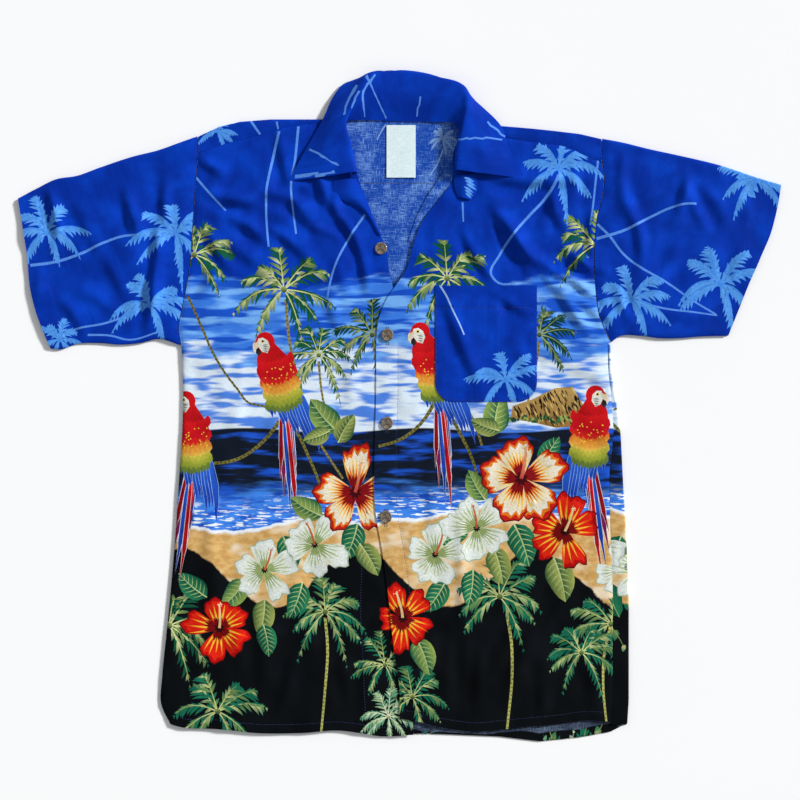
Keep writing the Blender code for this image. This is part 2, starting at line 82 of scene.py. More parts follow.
# Edges, seams and hems, which only the cloth shows
SIDE_EDGE = 1.6  # where a front comes down to its side seam
SIDE_ROUND = 5.0
SEAM_DIP = 0.9  # groove along a seam
SEAM_HALF = 2.6
HEM_DEPTH = 11.0
CUFF_HEM = 25.0
PLACKET = 27.0
HEM_RISE = 0.35
HEM_STEP = 2.0  # width of the step up on to a hem
SIDE_CALM = 14.0  # creases die away this close to a front's side and armhole
SIDE_CALM_SHARE = 0.35  # of their height left at the seam
STRIP_CALM = 6.0  # on a strip that turns over an edge they start within this much of it
STRIP_SHARE = 0.6  # of their height on such a strip
TUBE_CALM = 16.0  # they die away this close to a sleeve's underarm fold and armhole
EDGE_RIPPLE = 0.5  # height of the slow waves along a hem
EDGE_RIPPLE_REACH = 22.0
PUCKER = 0.22  # height of the puckers along a line of stitches
PUCKER_LENGTH = 9.0
HEM_TURN = 0.75  # radius of the turn at the back's hem
NECK_TUCK = 3.0  # how far the yoke runs up under the collar's seam

# Mesh steps
EDGE_STEP = 3.0
LATTICE = 4.4
BACK_LATTICE = 9.0
WRONG_LATTICE = 5.0
COLLAR_LATTICE = 3.2
LAPEL_LATTICE = 2.2
FACING_LATTICE = 3.0
LABEL_LATTICE = 2.4
BUTTON_LATTICE = 1.0
SMALLEST_SHAPE = 0.12  # square mm

# Distances from a line of the rows of points that draw it: a side's round edge, a seam's groove, a hem's step
SIDE_ROWS = (0.4, 1.1, 2.2, 3.8)
SEAM_ROWS = (1.5, 3.2, 5.5)
SEAM_ROWS_BELOW = (-1.5, -3.2, -5.5)
HEM_ROWS = (9.4, 11.0, 12.6)
PLACKET_ROWS = (25.4, PLACKET, 28.6)
TURN_ROWS = 9  # across a turned edge

# Width of the print's repeat
REPEAT = 217.0

# The part's outlines. Sides, armholes and front edges run upwards, shoulders and ridges towards the neck.
RIGHT_SIDE = ((-284, -394), (-295, -370), (-294, -335), (-289, -285), (-284, -235), (-278, -165),
              (-273, -90), (-269, -30), (-268, 20), (-270, 74))
RIGHT_ARMHOLE = ((-270, 74), (-273, 96), (-268, 124), (-260, 168), (-255, 230), (-252, 280), (-249, 314))
LEFT_SIDE = ((282, -396), (284, -365), (284, -300), (284, -235), (281, -165), (277, -95),
             (274, -35), (268, 8), (263, 40), (261, 78))
LEFT_ARMHOLE = ((261, 78), (247, 112), (242, 150), (241, 195), (244, 232), (251, 262), (253, 284),
                (250, 302))
RIGHT_SHOULDER = ((-249, 314), (-211, 326), (-180, 334), (-148, 343), (-120, 348), (-86, 352))
LEFT_SHOULDER = ((250, 302), (232, 309), (208, 320), (180, 325), (150, 329), (118, 336), (88, 345))
RIGHT_RIDGE = ((-249, 334), (-223, 346), (-198, 352), (-160, 355), (-120, 355), (-86, 355))
LEFT_RIDGE = ((249, 331), (223, 337), (190, 341), (160, 344), (124, 347), (88, 351))
NECK_SEAM = ((-86, 355), (-62, 353.5), (-30, 352), (20, 350.5), (60, 349.5), (88, 351))
YOKE_SEAM = ((-250.8, 272), (-150, 274), (0, 276), (130, 274), (250.6, 270))
BUTTON_EDGE_LOW = ((17, -407), (15, -330), (12, -240), (8, -150), (3, -60), (0, 10), (0, 74))
BUTTON_EDGE_HIGH = ((0, 74), (-3, 115), (-8, 146), (-13, 168), (-16, 192), (-28, 222), (-39, 248),
                    (-52, 285), (-66, 330), (-86, 352))
HOLE_EDGE_LOW = ((0, -387), (0, -352), (-5, -315), (-9, -283), (-14, -235), (-21, -182), (-30, -128),
                 (-31, -60), (-29, 10), (-29, 78))
HOLE_EDGE_HIGH = ((-29, 78), (-26, 106), (-15, 134), (-4, 150), (7, 166), (16, 195), (28, 228),
                  (50, 257), (64, 276), (68, 318), (88, 345))
BUTTON_HEM = ((-284, -394), (-273, -397), (-223, -400), (-174, -405), (-124, -405), (-74, -402),
              (-48, -405), (-24, -409), (17, -407))
HOLE_HEM = ((261, -391), (240, -389), (192, -394), (160, -397), (130, -400), (88, -403), (50, -397),
            (20, -390), (0, -387))
BACK_HEM = ((-281, -392), (-223, -397), (-174, -401), (-100, -400), (-25, -405), (50, -406), (124, -409),
            (174, -415), (223, -410), (262, -403), (281, -393))
# How far the back turns up round the left side on to the front, from the hem to the armpit
WRAP = ((-396, 20), (-300, 20), (-150, 19), (-80, 16), (-30, 8), (20, 4), (78, 3))
# How deep the back's hem allowance stands up inside it, by x
ALLOWANCE = ((-277, 10), (0, 10), (30, 2), (110, 2), (150, 9), (270, 9))

RIGHT_SLEEVE = {
    "armhole": ((-271, 75), (-274, 96), (-269, 124), (-261, 168), (-256, 230), (-253, 280), (-250.4, 314),
                (-250.4, 334)),
    "cuff": ((-432, 71), (-441, 92), (-450, 116), (-458, 150), (-461, 186), (-466, 218), (-472.5, 257)),
    "under": ((-271, 75), (-298, 83), (-322, 78), (-347, 76), (-372, 78), (-400, 77), (-422, 70),
              (-432, 71)),
    "over": ((-250.4, 334), (-273, 326), (-298, 317), (-330, 309), (-372, 295), (-400, 285), (-425, 281),
             (-450, 269), (-472.5, 257)),
}
LEFT_SLEEVE = {
    "armhole": ((262.4, 79), (248.2, 112), (243, 150), (242, 195), (245, 232), (252, 262), (254.2, 284),
                (251.4, 302), (251, 331)),
    "cuff": ((407, 87), (415, 107), (423, 127), (433, 152), (448, 186), (461, 218), (468, 246),
             (472.5, 274)),
    "under": ((262.4, 79), (272, 86), (298, 87), (322, 84), (347, 84), (372, 86), (407, 87)),
    "over": ((251, 331), (273, 327), (310, 318), (347, 310), (397, 298), (446, 282), (472.5, 274)),
}

COLLAR_COLUMNS = ("seam_x", "seam_y", "seam_z", "stand_z", "roll_x", "roll_y", "roll_z", "fall_z",
                  "edge_x", "edge_y", "edge_z")
COLLAR = (
    (-58, 284, 6.4, 7.0, -52, 288, 11.0, 13.0, -137, 278, 6.8),
    (-66, 316, 6.4, 7.4, -59, 322, 12.0, 15.0, -116, 317, 7.0),
    (-72, 341, 6.4, 9.5, -65, 350, 15.5, 15.5, -97, 350, 7.4),
    (-66, 352, 5.4, 12.5, -58, 367, 17.0, 14.5, -91, 363, 6.4),
    (-50, 354, 4.0, 13.5, -49, 387, 15.5, 11.0, -82, 383, 4.0),
    (-34, 354, 3.0, 12.5, -40, 410, 11.0, 5.0, -62, 402, 2.0),
    (-6, 353, 2.4, 10.5, -14, 415, 7.0, 1.4, -13, 392, 0.8),
    (34, 352, 2.8, 11.0, 50, 407, 8.0, 2.0, 47, 384, 1.2),
    (52, 351.5, 3.8, 13.0, 82, 393, 12.0, 6.0, 92, 378, 2.4),
    (64, 351, 5.2, 13.5, 84, 374, 17.0, 13.0, 107, 366, 5.0),
    (72, 345, 6.4, 11.5, 78, 353, 18.5, 16.5, 125, 347, 7.2),
    (74, 318, 6.4, 7.6, 70, 322, 13.5, 16.0, 137, 315, 7.0),
    (72, 289, 6.4, 7.0, 67, 291, 11.0, 13.5, 156, 281, 6.8),
)
COLLAR_STATIONS = 160
COLLAR_STEPS = 44

RIGHT_LAPEL = (
    (-53, 281, -81, 279, 9.0),
    (-45, 266, -83, 262, 9.0),
    (-39, 251, -60, 250, 8.5),
    (-31, 231, -42, 236, 7.4),
    (-22, 211, -27, 213, 6.2),
)
LEFT_LAPEL = (
    (68, 285, 96, 287, 9.0),
    (68, 272, 96, 266, 9.0),
    (72, 259, 88, 255, 8.0),
)
LEFT_FACING = (
    (58, 312, 78, 312),
    (52, 288, 76, 282),
    (36, 262, 66, 262),
    (24, 240, 46, 240),
    (16, 220, 32, 220),
    (11, 204, 22, 204),
)

# Folds that the part has too
FOLD_COLUMNS = ("x", "y", "turn", "length", "width", "height")
FOLDS = (
    (150, 205, -47, 120, 9, 4.0),
    (205, 146, -40, 105, 9, 3.6),
    (112, 222, -62, 60, 7, 2.6),
    (-212, 222, -38, 70, 9, 2.8),
    (-152, 236, -12, 80, 9, 2.8),
    (-112, 188, -62, 90, 9, 3.2),
    (-72, 158, -76, 80, 8, 2.6),
    (79, -235, 90, 300, 7, 2.8),
    (-168, -318, 80, 150, 13, 3.4),
    (-110, -300, 98, 150, 11, 3.0),
    (150, -318, 72, 140, 13, 3.4),
    (214, -290, 116, 120, 11, 2.6),
    (-232, -190, 94, 190, 11, 2.4),
    (-64, -318, 86, 110, 9, 2.4),
    (-330, 205, 62, 130, 13, 3.2),
    (-424, 215, 74, 80, 8, 2.8),
    (-306, 140, 95, 80, 10, 2.8),
    (345, 232, 80, 120, 11, 3.2),
    (306, 150, 24, 80, 11, 2.8),
    (392, 205, 60, 70, 9, 2.4),
)
# Finer creases that only the cloth shows. Each has a crest with a trough beside it, on the left side
# looking along turn if its height is positive and on the right side if it is negative.
CREASES = (
    (78, 82, -72, 150, 8, -2.2),
    (118, 118, -84, 60, 7, 1.3),
    (150, 60, -58, 80, 9, 0.9),
    (246, 118, -28, 60, 7, -2.5),
    (226, 176, -36, 90, 7, -2.4),
    (168, 176, -50, 96, 6, -2.2),
    (186, 236, 64, 60, 8, 1.7),
    (216, 268, 80, 60, 7, -1.5),
    (120, 262, -20, 80, 9, 1.7),
    (96, 188, -60, 100, 6, -2.1),
    (140, 128, -34, 70, 6, -1.4),
    (200, 60, -18, 90, 10, 0.9),
    (236, 40, -30, 80, 9, -0.9),
    (-128, 250, -28, 110, 8, 2),
    (-186, 262, 20, 90, 9, 1.8),
    (-226, 280, 60, 60, 9, -1.7),
    (-196, 190, -30, 100, 9, -2),
    (-140, 205, -40, 70, 6, -1.8),
    (-84, 212, -30, 60, 6, 1.5),
    (-78, 248, 72, 70, 7, -1.7),
    (-110, 296, 78, 80, 8, 1.4),
    (-160, 300, 84, 70, 8, -1.4),
    (-238, 150, 66, 60, 8, 1.8),
    (-226, 108, 24, 70, 9, -1.2),
    (-190, 84, 12, 90, 9, 0.8),
    (-80, 118, -80, 70, 7, -1.4),
    (-60, 30, 84, 120, 9, 0.7),
    (-150, -40, 88, 160, 14, 0.8),
    (-210, -80, 84, 150, 12, -0.8),
    (-130, -220, 84, 120, 12, -0.8),
    (-196, -300, 96, 130, 10, -1.4),
    (-138, -350, 78, 90, 9, 1.5),
    (-250, -330, 82, 120, 11, 1.2),
    (-84, -352, 96, 90, 8, -1.2),
    (-40, -350, 88, 90, 8, 1.1),
    (60, -330, 84, 140, 9, -1.6),
    (100, -344, 92, 110, 9, 1.5),
    (128, -300, 58, 120, 10, -1.4),
    (180, -350, 84, 90, 9, 1.4),
    (196, -250, 64, 110, 10, -1.2),
    (240, -350, 98, 90, 10, 1.2),
    (150, -200, 84, 120, 12, 0.8),
    (220, -100, 86, 160, 12, 0.7),
    (40, -120, 92, 190, 10, 0.7),
    (104, -40, 86, 150, 12, -0.6),
    (-303, 165, -95, 170, 7, -3.4),
    (-352, 165, -58, 110, 8, -1.3),
    (-330, 240, -80, 80, 8, -2.4),
    (-384, 215, -64, 120, 9, -1.3),
    (-428, 240, -72, 76, 6, -2.6),
    (-288, 252, -88, 90, 7, -2.2),
    (-404, 112, -60, 64, 7, -1.6),
    (-372, 130, -30, 70, 8, -1.2),
    (-446, 150, -84, 70, 7, -1.3),
    (-205, 258, -14, 96, 8, -3.1),
    (-190, 222, -30, 86, 8, -2.8),
    (-150, 266, 20, 80, 9, -2.4),
    (-118, 240, -50, 76, 8, -2.5),
    (-97, 274, -80, 90, 7, -2.8),
    (-142, 304, -84, 90, 8, -2.2),
    (-226, 196, -52, 84, 8, -2.7),
    (-66, 224, -65, 84, 6, -2.8),
    (-46, 176, -80, 90, 6, -2.4),
    (-236, 300, -40, 60, 7, -2.4),
    (165, 282, 0, 180, 9, -3.1),
    (143, 203, -59, 130, 8, -3.6),
    (190, 170, -39, 64, 5, -2.5),
    (226, 148, -30, 84, 6, -3.1),
    (232, 174, -14, 74, 6, -2.7),
    (214, 120, -50, 90, 7, -2.4),
    (196, 242, -70, 80, 7, -2.2),
    (240, 210, -84, 90, 6, -2.2),
    (368, 242, 112, 90, 7, -2.1),
    (352, 262, 84, 70, 6, 1.6),
    (286, 240, 106, 110, 8, -2.4),
    (298, 196, 84, 90, 7, 1.6),
    (318, 200, 60, 80, 8, -1.2),
    (330, 168, 56, 90, 8, -1.3),
    (392, 250, 120, 80, 7, 1.2),
    (428, 236, 100, 60, 7, -0.9),
    (420, 176, 74, 70, 8, 0.9),
    (352, 112, 8, 90, 8, -1.0),
    (276, 290, 96, 60, 7, 1.2),
    (276, 128, 118, 60, 6, -1.6),
)
TROUGH_SHARE = 0.6  # of the crest's height
TROUGH_OFFSET = 1.5  # in the crease's own widths
CREASE_GAIN = 1.9
# Small wrinkles: the way across them in degrees, the length of one and its height
RUMPLES = ((34, 37.0, 0.46), (121, 29.0, 0.34), (-12, 23.0, 0.26), (78, 31.0, 0.24))
# Long low waves of the whole cloth: direction in degrees, wavelength and height
WAVES = ((12, 74, 0.34), (68, 58, 0.30), (101, 92, 0.36), (143, 47, 0.22), (35, 121, 0.3), (84, 33, 0.13))

POCKET = {"left": 44.0, "right": 170.0, "bottom": 5.0, "top": 149.0, "corner": 24.0, "hem": 27.5}
LABEL = {"left": -16.0, "right": 20.0, "bottom": 283.0, "top": 348.0}
BUTTONS = ((-23.0, 195.0), (-15.0, 88.0), (-15.5, -21.0), (-17.0, -137.0))
BUTTON_RADIUS = 7.6
BUTTON_THICK = 2.6
BUTTON_DISH = 0.6
BUTTON_RIM = 1.6
HOLE_RADIUS = 0.9
HOLE_SPREAD = 1.7
STITCH_LENGTH = 2.3
STITCH_PITCH = 3.3
STITCH_HALF_WIDTH = 0.27
STITCH_HALF_HEIGHT = 0.2
BUTTONHOLE_BARS = 24
BUTTONHOLE_BELOW = 12.5  # how far below the button's middle a buttonhole ends
BUTTONHOLE_LENGTH = 22.0
BUTTONHOLE_HALF = 1.3
BAR_LENGTH = 2.1
STITCH_LIFT = 0.12

# The strokes of a palm, and how much larger palms and leaves are drawn than their tables say
FRONDS = 10
GHOST_FRONDS = 8
LEAFLETS = 8
FEW_LEAFLETS = 4
PALM_SCALE = 1.12
LEAF_SCALE = 1.35


# ---------------------------------------------------------------- lines and numbers

def smooth_line(points, count):
    """count + 1 evenly spaced points along a smooth curve through the given points."""
    p = np.array(points, float)
    knots = np.concatenate([[0.0], np.cumsum(np.linalg.norm(np.diff(p[:, :3], axis=0), axis=1))])
    slopes = np.gradient(p, knots, axis=0)
    fine = np.linspace(0.0, knots[-1], 12 * len(p))
    i = np.clip(np.searchsorted(knots, fine, side="right") - 1, 0, len(p) - 2)
    gap = (knots[i + 1] - knots[i])[:, None]
    t = (fine - knots[i])[:, None] / gap
    line = ((2 * t**3 - 3 * t**2 + 1) * p[i] + (t**3 - 2 * t**2 + t) * gap * slopes[i]
            + (3 * t**2 - 2 * t**3) * p[i + 1] + (t**3 - t**2) * gap * slopes[i + 1])
    along = np.concatenate([[0.0], np.cumsum(np.linalg.norm(np.diff(line, axis=0), axis=1))])
    wanted = np.linspace(0.0, along[-1], count + 1)
    return np.stack([np.interp(wanted, along, line[:, k]) for k in range(p.shape[1])], axis=1)


def curve(points, step=EDGE_STEP):
    """A smooth curve through the points, about one point each step."""
    p = np.array(points, float)
    length = np.linalg.norm(np.diff(p, axis=0), axis=1).sum()
    return smooth_line(p, max(2, round(length / step)))


def straight(start, end, step=EDGE_STEP):
    start, end = np.array(start, float), np.array(end, float)
    count = max(1, round(np.linalg.norm(end - start) / step))
    return start + np.linspace(0.0, 1.0, count + 1)[:, None] * (end - start)


def loop(*lines):
    """A closed outline from lines that follow each other, each without a point that repeats."""
    points = np.concatenate(lines)
    away = np.linalg.norm(points - np.roll(points, 1, axis=0), axis=1)
    return points[away > 0.05]


def rectangle(left, bottom, right, top):
    """A closed outline, anticlockwise from its lower left corner."""
    corners = ((left, bottom), (right, bottom), (right, top), (left, top))
    return loop(*(straight(a, b) for a, b in zip(corners, corners[1:] + corners[:1])))


def smooth_step(share):
    t = np.clip(share, 0.0, 1.0)
    return t * t * (3.0 - 2.0 * t)


def arc(share):
    """Rises from 0 to 1 like a quarter circle."""
    return np.sqrt(1.0 - (1.0 - np.clip(share, 0.0, 1.0)) ** 2)


def x_on(line):
    """Function of y that gives a line's x there."""
    fine = np.array(line, float)
    order = np.argsort(fine[:, 1])
    return lambda y: np.interp(y, fine[order, 1], fine[order, 0])


def y_on(line):
    """Function of x that gives a line's y there."""
    fine = np.array(line, float)
    order = np.argsort(fine[:, 0])
    return lambda x: np.interp(x, fine[order, 0], fine[order, 1])


def linear(colour):
    """Red, green and blue from 0 to 255, as a screen shows them, turned into linear light."""
    c = np.array(colour, float) / 255.0
    return tuple(np.where(c <= 0.04045, c / 12.92, ((c + 0.055) / 1.055) ** 2.4))


# ---------------------------------------------------------------- drawing the print

def signed_area(p):
    """Area of a closed outline, positive if it runs anticlockwise."""
    return 0.5 * np.sum(p[:, 0] * np.roll(p[:, 1], -1) - np.roll(p[:, 0], -1) * p[:, 1])


def anticlockwise(p):
    return p if signed_area(p) > 0 else p[::-1]


def is_simple(p):
    """True if a closed outline doesn't cross itself."""
    a, b = p, np.roll(p, -1, axis=0)
    n = len(p)

    def side(o, q, r):
        """Positive where r lies on the left of the way from o to q."""
        ahead, aside = q - o, r - o
        return ahead[..., 0] * aside[..., 1] - ahead[..., 1] * aside[..., 0]

    first = side(a[:, None], b[:, None], a[None]) * side(a[:, None], b[:, None], b[None]) < 0
    crossing = first & first.T
    return not crossing.any() and n > 2


class Artwork:
    """Flat shapes painted in order, each over those before it. A shape's colour runs from one tint to
    another along an axis."""

    def __init__(self):
        self.outlines, self.near, self.far, self.start, self.end = [], [], [], [], []

    def shape(self, points, near, far=None, axis=None):
        p = np.asarray(points, float)
        if abs(signed_area(p)) < SMALLEST_SHAPE or not is_simple(p):
            return
        self.outlines.append(anticlockwise(p))
        self.near.append(linear(near))
        self.far.append(linear(far or near))
        self.start.append(axis[0] if axis else p[0])
        self.end.append(axis[1] if axis else p[0] + (0.0, 1.0))

    def ribbon(self, path, widths, near, far=None):
        """A band of changing width along a path."""
        path = np.asarray(path, float)
        heading = np.gradient(path, axis=0)
        heading /= np.linalg.norm(heading, axis=1)[:, None] + 1e-9
        out = np.stack([-heading[:, 1], heading[:, 0]], axis=1) * (np.asarray(widths) / 2)[:, None]
        self.shape(np.concatenate([path + out, (path - out)[::-1]]), near, far, (path[0], path[-1]))

    def blade(self, base, tip, width, near, far=None, bend=0.0, fat=0.45):
        """A pointed leaf from base to tip, widest at fat of its length, bent to the left by bend."""
        base, tip = np.asarray(base, float), np.asarray(tip, float)
        run = tip - base
        side = np.array([-run[1], run[0]])
        t = np.array([0.0, 0.2, fat, 0.75, 1.0])
        half = np.array([0.18, 0.75, 1.0, 0.62, 0.02]) * width / 2
        unit = side / (np.linalg.norm(run) + 1e-9)
        path = base + t[:, None] * run + (4 * bend * t * (1 - t))[:, None] * side
        self.shape(np.concatenate([path + half[:, None] * unit, (path - half[:, None] * unit)[::-1]]),
                   near, far, (base, tip))


def spot(centre, radius, count=8, squash=1.0):
    around = np.linspace(0.0, 2 * math.pi, count, endpoint=False)
    return np.asarray(centre) + np.stack([radius * np.cos(around), squash * radius * np.sin(around)], axis=1)


# Tints of a palm: rib, leaflets near the rib, leaflets at their tips, and the shade behind them
PALM_LOOKS = {
    "green": ((224, 230, 164), (158, 178, 98), (18, 88, 60), (12, 52, 44)),
    "dark": ((170, 184, 120), (96, 124, 70), (14, 62, 52), (10, 40, 40)),
    "night": ((206, 214, 142), (128, 154, 82), (24, 112, 84), (10, 44, 40)),
    "pale": ((232, 238, 200), (196, 214, 160), (110, 166, 130), (60, 108, 92)),
    "ghost": ((96, 166, 246), (74, 148, 240), (88, 160, 244), (70, 144, 238)),
    "wrong": ((150, 184, 226), (132, 170, 220), (140, 176, 224), (120, 160, 214)),
}


def palm(art, x, y, size, turn, look, rng, full=True):
    """A palm's crown: long fronds that arch outwards and droop, with combed leaflets that hang."""
    rib, light, tip_tint, shade = PALM_LOOKS[look]
    size = PALM_SCALE * size
    flat_look = look in ("ghost", "wrong")
    leaflets = LEAFLETS if full else FEW_LEAFLETS
    fronds = GHOST_FRONDS if flat_look else FRONDS
    for k in rng.permutation(fronds):
        angle = math.radians(turn - 75.0 + 330.0 * (k + rng.uniform(-0.3, 0.3)) / fronds)
        reach = size * rng.uniform(0.88, 1.24)
        rise, droop = rng.uniform(0.15, 0.35), rng.uniform(0.2, 0.62)
        lit = rng.uniform(0.2, 0.85)
        t = np.linspace(0.0, 1.0, 11)
        path = np.stack([x + reach * math.cos(angle) * (1.15 * t - 0.15 * t**2),
                         y + reach * (math.sin(angle) * t + rise * t * (1 - 0.4 * t) - droop * t**2.4)],
                         axis=1)
        heading = np.gradient(path, axis=0)
        heading /= np.linalg.norm(heading, axis=1)[:, None]
        body = size * (0.17 if flat_look else 0.09) * np.sin(math.pi * np.clip(t, 0.05, 0.98) ** 0.8)
        art.ribbon(path, body, shade)
        for j in range(leaflets):
            share = (j + 0.9) / (leaflets + 0.4)
            at = np.array([np.interp(share, t, path[:, i]) for i in range(2)])
            ahead = np.array([np.interp(share, t, heading[:, i]) for i in range(2)])
            bulge = math.sin(math.pi * share**0.75) ** 0.7
            long = size * (0.27 if flat_look else 0.33) * bulge * rng.uniform(0.75, 1.2)
            for side in (-1, 1):
                across = side * np.array([-ahead[1], ahead[0]])
                way = 0.75 * across + 1.15 * ahead + np.array([0.0, -0.55])
                way /= np.linalg.norm(way)
                hangs = 1.15 if across[1] < 0 else 0.75
                draw = rng.uniform()
                near = tip_tint if draw > lit else rib if draw < 0.45 * lit else light
                broad = size * 0.6 / leaflets * min(1.0, long / (0.2 * size))
                art.blade(at, at + way * long * hangs, broad, near, tip_tint, bend=-0.1 * side, fat=0.4)
        art.ribbon(path[:10], np.linspace(size * 0.034, size * 0.012, 10), rib, light)
    art.shape(spot((x, y), size * 0.07), light, shade, ((x, y + size * 0.07), (x, y - size * 0.07)))


# Tints of a stem and of its rings
STEM_LOOKS = {
    "bark": ((150, 138, 78), (96, 86, 48)),
    "night": ((186, 186, 104), (112, 118, 58)),
    "branch": ((122, 116, 56), (70, 68, 36)),
    "line": ((92, 150, 240), None),
    "pale_line": ((150, 186, 236), None),
}


def trunk(art, points, width, look):
    """A stem or branch. A banded one has dark rings, and a plain one is a thin line."""
    path = curve(points, 5.0)
    light, ring = STEM_LOOKS[look]
    art.ribbon(path, np.linspace(width, width * 0.72, len(path)), light)
    if ring:
        heading = np.gradient(path, axis=0)
        heading /= np.linalg.norm(heading, axis=1)[:, None]
        for k in range(0, len(path) - 1):
            across = np.array([-heading[k, 1], heading[k, 0]]) * width / 2
            shift = heading[k] * 1.5
            side = 1 if k % 2 else -1
            art.shape([path[k] - side * across, path[k] + side * 0.35 * across,
                       path[k] + side * 0.25 * across + shift, path[k] - side * across + 1.4 * shift], ring)


def petal(length, width, ruffle, phase, scale=1.0, jag=0.0, count=34):
    """Outline of a petal that grows along +X from the origin: narrow foot, broad ruffled end."""
    around = np.linspace(0.0, 2 * math.pi, count, endpoint=False)
    t = 0.5 - 0.5 * np.cos(around)
    half = np.sin(around) * (0.3 + 0.7 * t**1.15) * (1.0 + 0.25 * t)
    edge = 1.0 + (ruffle * np.sin(4 * around + phase) + 0.7 * ruffle * np.sin(9 * around + 2 * phase)) * t**2
    edge = edge * (1.0 + jag * np.where(np.arange(count) % 2, -1.0, 0.4) * t)
    return scale * np.stack([length * t**0.9 * edge, 0.5 * width * half * edge], axis=1)


def turned(points, angle, centre):
    c, s = math.cos(angle), math.sin(angle)
    return np.asarray(points) @ np.array([[c, s], [-s, c]]) + np.asarray(centre)


# Layers of each petal from the edge inwards (scale, jag, near the foot, at the edge), then flames from
# the foot (reach, width, count, tint), the throat's tint and size, and the stamen's tints
FLOWER_LOOKS = {
    "sunset": {
        "layers": ((1.0, 0.0, (216, 60, 24), (206, 30, 20)), (0.94, 0.07, (240, 150, 40), (238, 128, 34)),
                   (0.87, 0.10, (246, 214, 120), (244, 242, 232))),
        "flames": ((0.74, 0.07, 7, (250, 206, 96)), (0.6, 0.065, 7, (232, 104, 34)),
                   (0.44, 0.1, 5, (136, 14, 20))),
        "shade": (112, 16, 14), "throat": ((70, 8, 16), 0.2), "stamen": ((206, 70, 60), (238, 176, 130))},
    "red": {
        "layers": ((1.0, 0.0, (206, 14, 10), (196, 8, 8)), (0.92, 0.06, (216, 18, 12), (232, 40, 18))),
        "flames": ((0.9, 0.10, 4, (240, 96, 20)), (0.8, 0.055, 4, (252, 200, 60)),
                   (0.42, 0.12, 5, (120, 8, 10))),
        "shade": (96, 8, 10), "throat": ((50, 4, 10), 0.2), "stamen": ((232, 190, 130), (246, 222, 170))},
    "white": {
        "layers": ((1.0, 0.0, (222, 230, 212), (226, 236, 230)),
                   (0.92, 0.05, (206, 216, 180), (242, 248, 246))),
        "flames": ((0.8, 0.10, 5, (184, 198, 150)), (0.66, 0.06, 6, (234, 242, 232)),
                   (0.5, 0.08, 5, (150, 168, 104))),
        "shade": (168, 184, 158), "throat": ((16, 20, 26), 0.15), "stamen": ((190, 90, 50), (206, 110, 66))},
}


def hibiscus(art, x, y, size, turn, look, rng, full=True):
    """Five ruffled petals, each in layers with flames from its foot, a throat and a stamen."""
    facts = FLOWER_LOOKS[look]
    for k in (0, 2, 4, 1, 3):
        angle = math.radians(turn) + 2 * math.pi * k / 5 + rng.uniform(-0.18, 0.18)
        length = size * rng.uniform(0.94, 1.26)
        phase = rng.uniform(0.0, 6.0)
        foot = np.array([x, y])
        tip = foot + length * np.array([math.cos(angle), math.sin(angle)])
        broad = size * rng.uniform(0.9, 1.16)
        art.shape(turned(petal(length, broad, 0.075, phase, 1.04), angle, foot), facts["shade"])
        for scale, jag, near, far in facts["layers"]:
            outline = petal(length, broad, 0.075, phase, scale, jag)
            art.shape(turned(outline, angle, foot), near, far, (foot, tip))
        for reach, width, count, tint in facts["flames"] if full else facts["flames"][:1]:
            for j in range(count):
                lean = (j - (count - 1) / 2) * 0.95 / count
                way = angle + lean
                ahead = np.array([math.cos(way), math.sin(way)])
                end = foot + length * reach * rng.uniform(0.85, 1.12) * ahead
                art.blade(foot, end, size * width, tint, bend=0.06 * lean, fat=0.5)
    tint, reach = facts["throat"]
    star = spot((x, y), size * reach, 16)
    star[::2] = (x, y) + (star[::2] - (x, y)) * 0.55
    art.shape(star, tint)
    way = math.radians(turn) + 0.9
    along = np.linspace(0.0, 1.0, 7)[:, None]
    path = np.array([x, y]) + along * size * 0.8 * np.array([math.cos(way), math.sin(way)])
    path = path + along**2 * size * 0.12 * np.array([-math.sin(way), math.cos(way)])
    art.ribbon(path, np.linspace(0.09, 0.05, 7) * size, facts["stamen"][0], facts["stamen"][1])
    for _ in range(9 if full else 0):
        at = path[-1] + rng.normal(0.0, size * 0.05, 2)
        art.shape(spot(at, size * 0.022, 5), facts["stamen"][1])


# Tints of a leaf's two halves
LEAF_LOOKS = {
    "green": ((24, 96, 66), (150, 176, 84)),
    "deep": ((12, 84, 66), (40, 130, 88)),
    "olive": ((60, 92, 50), (168, 178, 92)),
}


def leaf(art, x, y, size, turn, look, rng, full=True):
    """A broad leaf in two halves with a pale rib and veins. x and y are its middle."""
    tints = LEAF_LOOKS[look]
    angle = math.radians(turn)
    size = LEAF_SCALE * size
    way = np.array([math.cos(angle), math.sin(angle)])
    side = np.array([-way[1], way[0]])
    foot = np.array([x, y]) - size * way
    t = np.linspace(0.0, 1.0, 9)
    bow = 0.16 * size * np.sin(math.pi * t)
    rib = foot + t[:, None] * 2 * size * way + bow[:, None] * side * 0.5
    for sign in (-1, 1):
        spread = sign * size * 0.62 * np.sin(math.pi * np.clip(t, 0, 1) ** 0.8) ** 0.75
        spread = spread * (1 + 0.05 * np.sin(9 * t + sign))
        edge = rib + spread[:, None] * side
        near, far = tints if sign > 0 else tints[::-1]
        art.shape(np.concatenate([rib, edge[-2:0:-1]]), near, far, (rib[4], edge[4]))
        for j in range(1, 7 if full else 1):
            base = rib[j]
            end = base + 0.86 * spread[min(j + 1, 8)] * side + 0.34 * size * way
            art.blade(base, end, size * 0.05, (188, 204, 136), (120, 164, 100), bend=0.06 * sign)
    art.ribbon(rib, np.linspace(0.08, 0.03, 9) * size, (206, 216, 150), (150, 182, 110))


